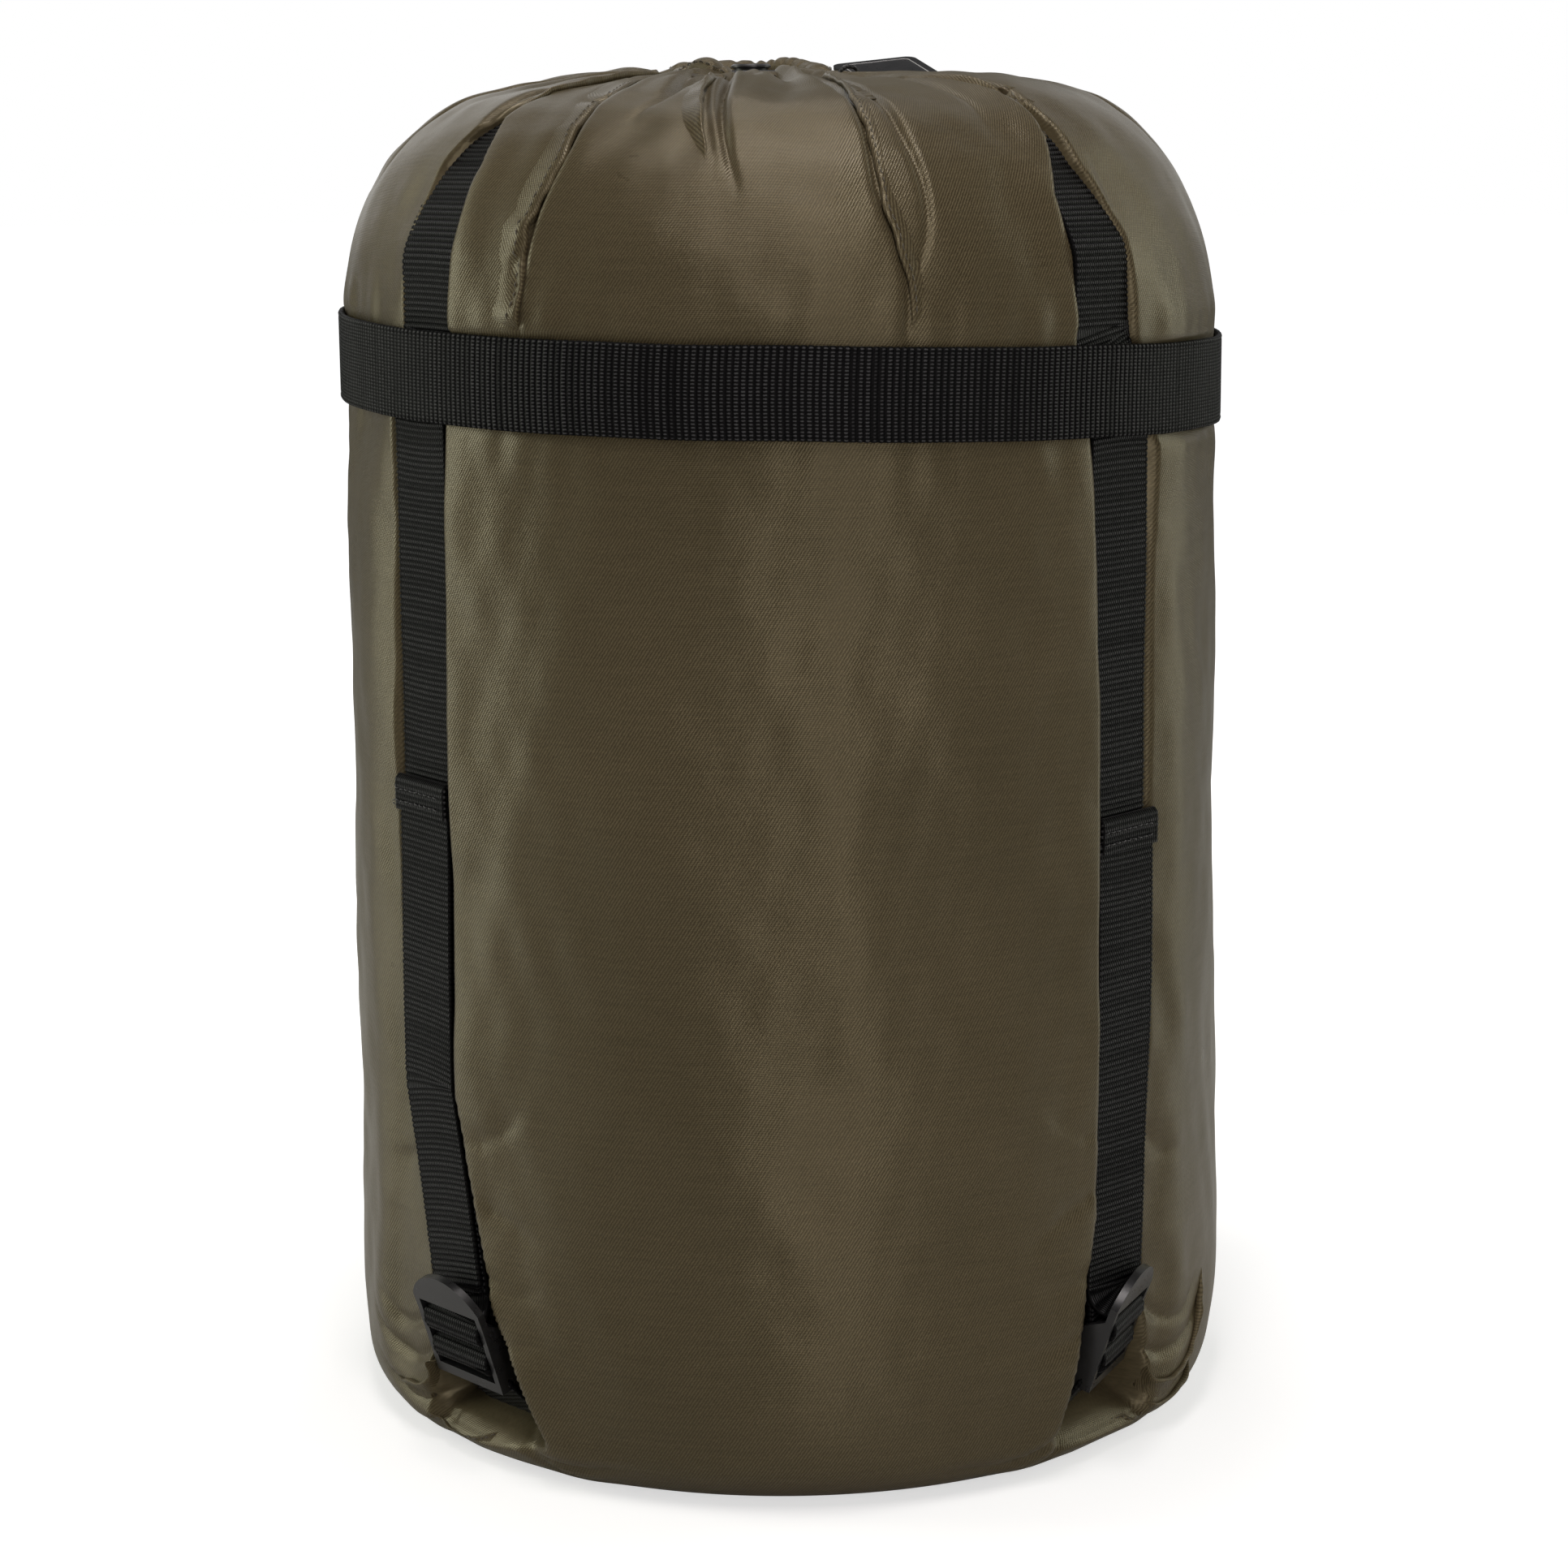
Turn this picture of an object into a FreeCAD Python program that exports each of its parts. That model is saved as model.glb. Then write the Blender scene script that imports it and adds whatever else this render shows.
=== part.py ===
import FreeCAD, Part, Sketcher
import math
import os
import re

# Compression stuff sack, packed full and standing on its base.
# Millimetres, +Z up, origin at the centre of the base, front towards -Y.
# Every strap set is drawn as if it stood at the front and is then turned about Z to its place:
# in that drawing +X runs along the wall, -Y points out of the wall and +Z runs up it.

DIMENSIONS = {
    # sack
    "sack_radius": 128.5,
    "shoulder_height": 332,
    "shoulder_radius": 56,
    "base_corner_radius": 12,
    "cloth": 1.0,
    "seam_tape": 1.2,
    "seam_tape_width": 8,
    # mouth, drawn closed a little left of the axis
    "mouth_x": -8,
    "mouth_radius": 20,
    "hem_radius": 4.5,
    "cord_radius": 1.75,
    "cord_spacing": 5.2,
    "recess_radius": 15,
    "recess_floor": 377,
    # webbing
    "webbing_width": 25,
    "webbing": 1.3,
    "valley": 125,
    "strap_angle": 50,
    "strap_low": 47,
    "slant_top": 110,
    "strap_end_angle": 72,
    "band_centre": 310,
    "band_width": 25,
    "band_lap_angle": 18,
    "layer_gap": 0.3,
    # tuck of the wall behind each buckle
    "tuck_top": 75,
    "tuck_angle": 16.4,
    "tuck_width": 46,
    # ladder lock
    "hinge_out": 125,
    "hinge_height": 33,
    "rest_pitch": 18,
    "buckle_width": 30.4,
    "rail_width": 2.2,
    "rail_outer": 3.2,
    "rail_inner": 4.5,
    "bar_size": 4,
    "wrap_bar_height": 9.5,
    "end_bar_top": -5.7,
    "end_bar_low": -9.0,
    "tab_low": 16.2,
    "tab_shoulder": 17.6,
    "tab_tip": 26.5,
    "tab_plate": 2.2,
    "loop_radius": 3.0,
    # tails
    "tail_low": 50,
    "hem_length": 9,
    # cord lock
    "lock_radius": 7,
    "lock_low": 377.5,
    "lock_top": 391.5,
    "lock_bore": 5.1,
    "lock_floor": 1.6,
    "cord_hole_height": 386.5,
    "cord_hole_radius": 2.2,
    "plunger_radius": 5.0,
    "plunger_low": 384,
    "plunger_travel": 2.5,
    "button_top": 396.3,
    "button_radius": 5.9,
    "button_low": 395,
    "spring_radius": 3.6,
    "spring_wire": 0.3,
    "spring_turns": 3,
    # hang tag, propped up behind the mouth
    "tag_width": 26,
    "tag_length": 30,
    "tag_thickness": 1.0,
    "tag_corner": 3,
    "tag_turn": 22,
    "tag_tilt": 15,
    "tag_x": 32.6,
    "tag_y": 2.9,
    "tag_z": 392.8,
    "tag_hole_radius": 1.6,
    "tag_hole_inset": 3.4,
    "tag_loop_radius": 3.4,
    "tag_cord_radius": 0.6,
    # stitching
    "tack_width": 20,
    "tack_rise": 0.6,
    "tack_height": 3,
    "tack_height_on_band": 308.5,
}

# Each strap set: its angle from the front as a multiple of strap_angle or from the back,
# the sideways shift and twist of its buckle, and the height of its tail's end.
STRAPS = {
    "front_left": {"turn": "-strap_angle", "shift": 12.5, "twist": 5.0, "tail_top": 198},
    "front_right": {"turn": "strap_angle", "shift": -1.0, "twist": 18.0, "tail_top": 188},
    "back_right": {"turn": "180 - strap_angle", "shift": -4.0, "twist": -8.0, "tail_top": 206},
    "back_left": {"turn": "strap_angle - 180", "shift": -7.0, "twist": 6.0, "tail_top": 181},
}

X_AXIS = FreeCAD.Vector(1, 0, 0)
Y_AXIS = FreeCAD.Vector(0, 1, 0)
Z_AXIS = FreeCAD.Vector(0, 0, 1)

doc = FreeCAD.newDocument("stuff_sack")
sheet = doc.addObject("Spreadsheet::Sheet", "Dimensions")


def fill_sheet():
    """Write every driving dimension into its own cell and name the cell."""
    row = 0
    for name, value in DIMENSIONS.items():
        row += 1
        sheet.set(f"A{row}", name)
        sheet.set(f"B{row}", str(value))
        sheet.setAlias(f"B{row}", name)
    for strap, facts in STRAPS.items():
        for fact in ("shift", "twist", "tail_top"):
            row += 1
            sheet.set(f"A{row}", f"{strap}_{fact}")
            sheet.set(f"B{row}", str(facts[fact]))
            sheet.setAlias(f"B{row}", f"{strap}_{fact}")
            DIMENSIONS_AND_STRAPS.add(f"{strap}_{fact}")


DIMENSIONS_AND_STRAPS = set(DIMENSIONS)
fill_sheet()
doc.recompute()


def sized(formula):
    """Point every dimension's name in a formula at its cell."""
    def cell(match):
        name = match.group(0)
        return f"Dimensions.{name}" if name in DIMENSIONS_AND_STRAPS else name
    return re.sub(r"[a-z_]+", cell, str(formula))


def number(formula):
    """The present value of a formula written in dimension names."""
    return float(sheet.evalExpression(sized(formula)))


def bind(item, **sizes):
    """Drive an object's properties from the sheet."""
    for name, formula in sizes.items():
        item.setExpression(name, sized(formula))
    return item


# ---------------------------------------------------------------- sketches and features

def sketch_on(body, role, name, offset="0"):
    """A sketch on one of the body's own origin planes, moved along its normal."""
    plane = [f for f in body.Origin.OriginFeatures if f.Role == role][0]
    sketch = body.newObject("Sketcher::SketchObject", name)
    sketch.AttachmentSupport = [(plane, "")]
    sketch.MapMode = "FlatFace"
    bind(sketch, **{".AttachmentOffset.Base.z": offset})
    return sketch


def fix_point(sketch, geometry, point, x, y):
    """Hold a sketch point at the place that two formulas give."""
    for kind, formula in (("DistanceX", x), ("DistanceY", y)):
        index = sketch.addConstraint(
            Sketcher.Constraint(kind, -1, 1, geometry, point, number(formula)))
        sketch.setExpression(f"Constraints[{index}]", sized(formula))


def draw_outline(sketch, points, arcs=None):
    """A closed outline through points; arcs maps a point's index to a radius and a midpoint."""
    arcs = arcs or {}
    places = [FreeCAD.Vector(number(x), number(y), 0) for x, y in points]
    first = sketch.GeometryCount
    count = len(points)
    for i, start in enumerate(places):
        end = places[(i + 1) % count]
        if i in arcs:
            middle = FreeCAD.Vector(number(arcs[i][1]), number(arcs[i][2]), 0)
            clockwise = (middle - start).cross(end - middle).z < 0
            ends = (end, start) if clockwise else (start, end)
            sketch.addGeometry(Part.Arc(ends[0], middle, ends[1]))
        else:
            sketch.addGeometry(Part.LineSegment(start, end))
    # the sketcher's arcs run anticlockwise, so some have their ends the other way round
    drawn = list(sketch.Geometry)[first:]

    def end_index(i, at_start):
        forward = drawn[i].StartPoint.distanceToPoint(places[i]) < 1e-6
        return 1 if forward == at_start else 2

    for i in range(count):
        after = (i + 1) % count
        sketch.addConstraint(Sketcher.Constraint(
            "Coincident", first + i, end_index(i, False), first + after, end_index(after, True)))
    for i, (x, y) in enumerate(points):
        fix_point(sketch, first + i, end_index(i, True), x, y)
    for i, (radius, _, _) in arcs.items():
        index = sketch.addConstraint(Sketcher.Constraint("Radius", first + i, number(radius)))
        sketch.setExpression(f"Constraints[{index}]", sized(radius))


def draw_circle(sketch, x, y, radius):
    """A full circle about a placed centre."""
    centre = FreeCAD.Vector(number(x), number(y), 0)
    geometry = sketch.addGeometry(Part.Circle(centre, Z_AXIS, number(radius)))
    fix_point(sketch, geometry, 3, x, y)
    index = sketch.addConstraint(Sketcher.Constraint("Radius", geometry, number(radius)))
    sketch.setExpression(f"Constraints[{index}]", sized(radius))


def new_body(name):
    body = doc.addObject("PartDesign::Body", name)
    body.Label = name
    return body


def add_feature(body, kind, name, sketch, length, side="One side"):
    feature = body.newObject(f"PartDesign::{kind}", name)
    feature.Profile = sketch
    feature.SideType = side
    bind(feature, Length=length)
    return feature


def add_revolution(body, name, sketch, kind="Revolution"):
    """Turn a sketch of the XZ plane about its vertical axis."""
    feature = body.newObject(f"PartDesign::{kind}", name)
    feature.Profile = sketch
    feature.ReferenceAxis = (sketch, ["V_Axis"])
    feature.Angle = 360
    return feature


def boolean(kind, name, *shapes):
    """A named Part boolean of whole objects."""
    result = doc.addObject(f"Part::{kind}", name)
    if kind in ("Cut", "Common"):
        result.Base, result.Tool = shapes
    else:
        result.Shapes = list(shapes)
    result.Label = name
    return result


def box(name, length, width, height):
    return bind(doc.addObject("Part::Box", name), Length=length, Width=width, Height=height)


def cylinder(name, radius, height, x="0", y="0", z="0"):
    item = bind(doc.addObject("Part::Cylinder", name), Radius=radius, Height=height)
    return bind(item, **{".Placement.Base.x": x, ".Placement.Base.y": y, ".Placement.Base.z": z})


def turned(axis, degrees, base=None):
    return FreeCAD.Placement(base or FreeCAD.Vector(), FreeCAD.Rotation(axis, degrees))


# ---------------------------------------------------------------- where each strap set stands

def strap_place(strap):
    """From the front drawing to the strap's own side of the sack."""
    return turned(Z_AXIS, number(STRAPS[strap]["turn"]))


def hinge_place(strap):
    """To the buckle's hinge, turned with the buckle about the upright."""
    base = FreeCAD.Vector(number(f"{strap}_shift"), -number("hinge_out"), number("hinge_height"))
    return strap_place(strap) * turned(Z_AXIS, number(f"{strap}_twist"), base)


def buckle_place(strap):
    """As the hinge, leaning out by the pitch at which the buckle rests."""
    return hinge_place(strap) * turned(X_AXIS, number("rest_pitch"))


def tag_place():
    """To the hang tag: turned in its own plane, its far edge propped up."""
    base = FreeCAD.Vector(number("tag_x"), number("tag_y"), number("tag_z"))
    return turned(X_AXIS, number("tag_tilt"), base) * turned(Z_AXIS, number("tag_turn"))


# ---------------------------------------------------------------- the packed form

def wall_cutters(tag, inset):
    """Flat valleys under the four straps and the tucks behind the buckles."""
    cutters = []
    for strap in STRAPS:
        flat = box(f"flat_{tag}_{strap}", "sack_radius", "sack_radius",
                   "shoulder_height + shoulder_radius * 2")
        offset = FreeCAD.Vector(-number("sack_radius / 2"),
                                -number(f"valley - {inset} + sack_radius"), -number("cloth"))
        flat.Placement = strap_place(strap) * FreeCAD.Placement(offset, FreeCAD.Rotation())
        cutters.append(flat)
        tuck = box(f"tuck_{tag}_{strap}", "tuck_width", "sack_radius", "sack_radius")
        low_corner = FreeCAD.Vector(-number("tuck_width / 2"), -number("sack_radius"),
                                    -number("sack_radius"))
        top = FreeCAD.Vector(number(f"{strap}_shift"), -number(f"valley - {inset}"),
                             number("tuck_top"))
        lean = turned(Z_AXIS, number(f"{strap}_twist"), top) * turned(X_AXIS, number("tuck_angle"))
        tuck.Placement = strap_place(strap) * lean * FreeCAD.Placement(low_corner, FreeCAD.Rotation())
        cutters.append(tuck)
    return cutters


def packed_form(tag, inset):
    """The stuffed shape, drawn in by an inset: round, with valleys, tucks and a soft shoulder."""
    body = new_body(f"form_{tag}")
    outline = sketch_on(body, "XZ_Plane", f"form_outline_{tag}")
    side = f"(sack_radius - {inset})"
    corner = f"(base_corner_radius - {inset})"
    shoulder = f"(shoulder_radius - {inset})"
    shoulder_x = "(sack_radius - shoulder_radius)"
    half = math.sqrt(0.5)
    draw_outline(outline, [
        ("0", inset),
        ("sack_radius - base_corner_radius", inset),
        (side, "base_corner_radius"),
        (side, "shoulder_height"),
        (shoulder_x, f"shoulder_height + {shoulder}"),
        ("0", f"shoulder_height + {shoulder}"),
    ], arcs={
        1: (corner, f"sack_radius - base_corner_radius + {corner} * {half}",
            f"base_corner_radius - {corner} * {half}"),
        3: (shoulder, f"{shoulder_x} + {shoulder} * {half}",
            f"shoulder_height + {shoulder} * {half}"),
    })
    add_revolution(body, f"form_turn_{tag}", outline)
    doc.recompute()
    cutters = boolean("MultiFuse", f"cutters_{tag}", *wall_cutters(tag, inset))
    return boolean("Cut", f"form_cut_{tag}", body, cutters)


def build_sack():
    """Wall and gathered top in one cloth, base panel, seam tape and the packed load."""
    outer = packed_form("outer", "0")
    inner = packed_form("inner", "cloth")
    core = packed_form("core", "(cloth + seam_tape)")
    mouth = cylinder("mouth_hole", "recess_radius", "sack_radius", "mouth_x", "0", "recess_floor")
    low = box("base_zone", "sack_radius * 4", "sack_radius * 4", "base_corner_radius + cloth")
    bind(low, **{".Placement.Base.x": "-sack_radius * 2", ".Placement.Base.y": "-sack_radius * 2",
                 ".Placement.Base.z": "-cloth"})
    shell = boolean("Cut", "cloth_shell", outer, inner)
    base_panel = boolean("Common", "base_panel", shell, low)
    upper_shell = boolean("Cut", "upper_shell", shell, low)
    wall = boolean("Cut", "sack_wall", upper_shell, mouth)
    tape_zone = cylinder("tape_zone", "sack_radius * 2", "seam_tape_width", z="base_corner_radius")
    tape_shell = boolean("Cut", "tape_shell", inner, core)
    tape = boolean("Common", "base_seam_tape", tape_shell, tape_zone)
    filled = boolean("Cut", "filled_form", inner, mouth)
    load = boolean("Cut", "packed_load", filled, tape)
    return [load, wall, base_panel, tape]


# ---------------------------------------------------------------- webbing

def build_band():
    """The girth band and the short lap where its ends are sewn together at the back."""
    band = new_body("girth_band")
    section = sketch_on(band, "XZ_Plane", "band_section")
    low = "band_centre - band_width / 2"
    high = "band_centre + band_width / 2"
    draw_outline(section, [("sack_radius", low), ("sack_radius + webbing", low),
                           ("sack_radius + webbing", high), ("sack_radius", high)])
    add_revolution(band, "band_turn", section)
    lap = new_body("girth_band_lap")
    section = sketch_on(lap, "YZ_Plane", "lap_section")
    draw_outline(section, [("sack_radius + webbing", low), ("sack_radius + webbing * 2", low),
                           ("sack_radius + webbing * 2", high), ("sack_radius + webbing", high)])
    turn = lap.newObject("PartDesign::Revolution", "lap_turn")
    turn.Profile = section
    turn.ReferenceAxis = (section, ["V_Axis"])
    turn.Midplane = True
    bind(turn, Angle="band_lap_angle")
    return [band, lap]


def build_strap(strap):
    """Standing strap: up the valley, under the band and over the shoulder."""
    body = new_body(f"strap_{strap}")
    side = sketch_on(body, "YZ_Plane", f"strap_side_{strap}")
    centre = "(sack_radius - shoulder_radius)"
    inner = "shoulder_radius"
    outer = "(shoulder_radius + webbing)"

    def rise(radius, out):
        return f"shoulder_height + sqrt({radius} * {radius} - ({out} - {centre}) * ({out} - {centre}))"

    def on_arc(radius, degrees):
        return (f"-({centre} + {radius} * cos({degrees}))", f"shoulder_height + {radius} * sin({degrees})")

    strap_middle = "strap_end_angle * 0.6"
    draw_outline(side, [
        ("-valley", "slant_top"),
        ("-valley", rise(inner, "valley")),
        on_arc(inner, "strap_end_angle"),
        on_arc(outer, "strap_end_angle"),
        ("-(valley + webbing)", rise(outer, "(valley + webbing)")),
        ("-(valley + webbing)", "slant_top"),
    ], arcs={
        1: (inner,) + on_arc(inner, strap_middle),
        3: (outer,) + on_arc(outer, strap_middle),
    })
    add_feature(body, "Pad", f"strap_run_{strap}", side, "webbing_width", "Symmetric")
    slant = sketch_on(body, "XZ_Plane", f"strap_slant_{strap}", "valley")
    shift = f"{strap}_shift"
    draw_outline(slant, [
        (f"{shift} - webbing_width / 2", "strap_low"),
        (f"{shift} + webbing_width / 2", "strap_low"),
        ("webbing_width / 2", "slant_top"),
        ("-webbing_width / 2", "slant_top"),
    ])
    add_feature(body, "Pad", f"strap_foot_{strap}", slant, "webbing")
    body.Placement = strap_place(strap)
    return body


def build_tail(strap):
    """Free tail outside the standing strap, and the folded hem at its end."""
    shift = f"{strap}_shift"
    top = f"{strap}_tail_top"
    layer = "valley + webbing + layer_gap"
    tail = new_body(f"tail_{strap}")
    face = sketch_on(tail, "XZ_Plane", f"tail_face_{strap}", layer)
    draw_outline(face, [
        (f"{shift} - webbing_width / 2", "tail_low"),
        (f"{shift} + webbing_width / 2", "tail_low"),
        ("webbing_width / 2", "slant_top"),
        ("webbing_width / 2", top),
        ("-webbing_width / 2", top),
        ("-webbing_width / 2", "slant_top"),
    ])
    add_feature(tail, "Pad", f"tail_pad_{strap}", face, "webbing")
    tail.Placement = strap_place(strap)
    hem = new_body(f"tail_hem_{strap}")
    face = sketch_on(hem, "XZ_Plane", f"hem_face_{strap}", f"{layer} + webbing")
    draw_outline(face, [
        ("-webbing_width / 2", f"{top} - hem_length"),
        ("webbing_width / 2", f"{top} - hem_length"),
        ("webbing_width / 2", top),
        ("-webbing_width / 2", top),
    ])
    add_feature(hem, "Pad", f"hem_pad_{strap}", face, "webbing")
    hem.Placement = strap_place(strap)
    return [tail, hem]


def build_wrap(strap):
    """The webbing's half turn round the buckle's upper bar, in quarter turns."""
    body = new_body(f"strap_wrap_{strap}")
    side = sketch_on(body, "YZ_Plane", f"wrap_side_{strap}")
    inner = "loop_radius"
    outer = "(loop_radius + webbing)"
    half = math.sqrt(0.5)
    draw_outline(side, [
        ("0", f"wrap_bar_height + {outer}"),
        (f"-{outer}", "wrap_bar_height"),
        ("0", f"wrap_bar_height - {outer}"),
        ("0", f"wrap_bar_height - {inner}"),
        (f"-{inner}", "wrap_bar_height"),
        ("0", f"wrap_bar_height + {inner}"),
    ], arcs={
        0: (outer, f"-{outer} * {half}", f"wrap_bar_height + {outer} * {half}"),
        1: (outer, f"-{outer} * {half}", f"wrap_bar_height - {outer} * {half}"),
        3: (inner, f"-{inner} * {half}", f"wrap_bar_height - {inner} * {half}"),
        4: (inner, f"-{inner} * {half}", f"wrap_bar_height + {inner} * {half}"),
    })
    add_feature(body, "Pad", f"wrap_pad_{strap}", side, "webbing_width", "Symmetric")
    body.Placement = buckle_place(strap)
    return body


def build_anchor(strap):
    """Short webbing sewn into the base seam, with its loop round the buckle's lower bar."""
    body = new_body(f"anchor_{strap}")
    ring = sketch_on(body, "YZ_Plane", f"anchor_ring_{strap}")
    draw_circle(ring, "0", "0", "loop_radius + webbing")
    draw_circle(ring, "0", "0", "loop_radius")
    add_feature(body, "Pad", f"anchor_loop_{strap}", ring, "webbing_width", "Symmetric")
    leg = sketch_on(body, "YZ_Plane", f"anchor_leg_side_{strap}")
    layer = "webbing * 2"
    foot = "(hinge_out - valley + tuck_top * tan(tuck_angle))"
    clear = 0.8
    bend_drop = 9
    bend_y = f"({foot} - (hinge_height - {bend_drop}) * tan(tuck_angle))"
    draw_outline(leg, [
        ("loop_radius + 0.2", "0.9"),
        (f"{bend_y} - {layer} - {clear}", f"-{bend_drop} + 1"),
        (f"{foot} - {layer} - {clear}", "cloth - hinge_height"),
        (f"{foot} - {clear}", "cloth - hinge_height"),
        (f"{bend_y} - {clear} - 0.5", f"-{bend_drop} + 2.5"),
        ("loop_radius + webbing / 2", "2.4"),
    ])
    add_feature(body, "Pad", f"anchor_leg_{strap}", leg, "webbing_width", "Symmetric")
    body.Placement = hinge_place(strap)
    return body


def build_stitching():
    """A bar tack across each standing strap behind the band, as one group."""
    tacks = []
    for strap in STRAPS:
        tack = box(f"tack_{strap}", "tack_width", "tack_rise", "tack_height")
        offset = FreeCAD.Vector(-number("tack_width / 2"),
                                -number("valley + webbing + tack_rise"),
                                number("tack_height_on_band"))
        tack.Placement = strap_place(strap) * FreeCAD.Placement(offset, FreeCAD.Rotation())
        tacks.append(tack)
    group = doc.addObject("Part::Compound", "bar_tacks")
    group.Links = tacks
    group.Label = "bar_tacks"
    return group


# ---------------------------------------------------------------- ladder lock

def build_buckle(strap):
    """Ladder lock: two rails, end bar, loop bar, wrap bar and a half-moon thumb tab."""
    body = new_body(f"buckle_{strap}")
    side = sketch_on(body, "YZ_Plane", f"buckle_side_{strap}")
    plate_inner = "(rail_outer - tab_plate)"
    draw_outline(side, [
        ("-rail_outer", "end_bar_low"),
        ("1", "end_bar_low"),
        ("rail_inner", "end_bar_top + 1"),
        ("rail_inner", "wrap_bar_height"),
        ("0.5", "wrap_bar_height + 2.5"),
        (f"-{plate_inner}", "wrap_bar_height + 3.5"),
        (f"-{plate_inner} - 0.6", "tab_tip"),
        ("-rail_outer - 0.6", "tab_tip"),
        ("-rail_outer", "wrap_bar_height + 3"),
    ])
    add_feature(body, "Pad", f"buckle_block_{strap}", side, "buckle_width", "Symmetric")
    inside = sketch_on(body, "YZ_Plane", f"buckle_gap_{strap}")
    over = "(rail_inner + 2)"
    out = "-(rail_outer + 2)"
    draw_outline(inside, [
        (over, "end_bar_low - 2"),
        (over, "tab_low"),
        (out, "tab_low"),
        (out, "end_bar_top"),
        ("1", "end_bar_top"),
        ("1", "end_bar_low - 2"),
    ])
    half = "bar_size / 2"
    for height in ("0", "wrap_bar_height"):
        draw_outline(inside, [
            (f"-{half}", f"{height} - {half}"),
            (half, f"{height} - {half}"),
            (half, f"{height} + {half}"),
            (f"-{half}", f"{height} + {half}"),
        ])
    gap = add_feature(body, "Pocket", f"buckle_slots_{strap}", inside,
                      "buckle_width - rail_width * 2", "Symmetric")
    doc.recompute()
    before = gap.Shape.Volume
    face = sketch_on(body, "XZ_Plane", f"tab_face_{strap}", "rail_outer + 2")
    half_width = "buckle_width / 2"
    tab_rise = "(tab_tip - tab_shoulder)"
    tab_radius = f"({half_width} * {half_width} + {tab_rise} * {tab_rise}) / 2 / {tab_rise}"
    draw_outline(face, [
        (f"-{half_width}", "tab_shoulder"),
        (half_width, "tab_shoulder"),
        (f"{half_width} + 2", "tab_shoulder"),
        (f"{half_width} + 2", "tab_tip + 2"),
        (f"-{half_width} - 2", "tab_tip + 2"),
        (f"-{half_width} - 2", "tab_shoulder"),
    ], arcs={0: (tab_radius, "0", "tab_tip")})
    trim = add_feature(body, "Pocket", f"tab_round_{strap}", face, "rail_outer + rail_inner + 6")
    doc.recompute()
    if trim.Shape.Volume >= before:
        raise RuntimeError(f"the thumb tab of {strap} was not rounded")
    body.Placement = buckle_place(strap)
    return body


# ---------------------------------------------------------------- drawcord and its lock

def build_mouth():
    """Hem channel drawn into a ring, and the cord inside it with both ends led to the lock."""
    ring = bind(doc.addObject("Part::Torus", "hem_ring"), Radius1="mouth_radius", Radius2="hem_radius")
    channel = bind(doc.addObject("Part::Torus", "hem_channel"), Radius1="mouth_radius",
                   Radius2="cord_radius + 0.1")
    centre_height = "shoulder_height + shoulder_radius + hem_radius"
    slot = box("cord_slot", "mouth_radius", "cord_spacing + cord_radius * 2 + 1.5", "hem_radius * 2")
    bind(slot, **{".Placement.Base.x": "mouth_x - mouth_radius - cord_radius",
                  ".Placement.Base.y": "-(cord_spacing + cord_radius * 2 + 1.5) / 2",
                  ".Placement.Base.z": f"{centre_height} - cord_radius - 1.5 - hem_radius"})
    for torus in (ring, channel):
        bind(torus, **{".Placement.Base.x": "mouth_x", ".Placement.Base.z": centre_height})
    hollow = boolean("Cut", "hem_hollow", ring, channel)
    slotted = boolean("Cut", "hem_slotted", hollow, slot)

    loop = bind(doc.addObject("Part::Torus", "cord_ring"), Radius1="mouth_radius", Radius2="cord_radius")
    gap_angle = 2 * math.degrees(math.asin(number("cord_spacing / 2 / mouth_radius")))
    loop.Angle3 = 360 - gap_angle
    start = FreeCAD.Vector(number("mouth_x"), 0, number(centre_height))
    loop.Placement = turned(Z_AXIS, 180 + gap_angle / 2, start)
    ends = []
    for side in (-1, 1):
        reach = math.cos(math.radians(gap_angle / 2)) * number("mouth_radius")
        begin = start + FreeCAD.Vector(-reach, side * number("cord_spacing / 2"), 0)
        wall = math.sqrt(number("lock_radius") ** 2 - number("cord_spacing / 2") ** 2)
        finish = FreeCAD.Vector(number("mouth_x") - wall - 1, begin.y, number("cord_hole_height"))
        run = finish - begin
        piece = bind(doc.addObject("Part::Cylinder", f"cord_end_{side + 1}"), Radius="cord_radius")
        piece.Height = run.Length
        piece.Placement = FreeCAD.Placement(begin, FreeCAD.Rotation(Z_AXIS, run))
        joint = bind(doc.addObject("Part::Sphere", f"cord_bend_{side + 1}"), Radius="cord_radius")
        joint.Placement.Base = begin
        ends.extend([piece, joint])
    cord = boolean("MultiFuse", "drawcord", loop, *ends)
    hem = boolean("Cut", "mouth_hem", slotted, cord)
    return [hem, cord]


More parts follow.
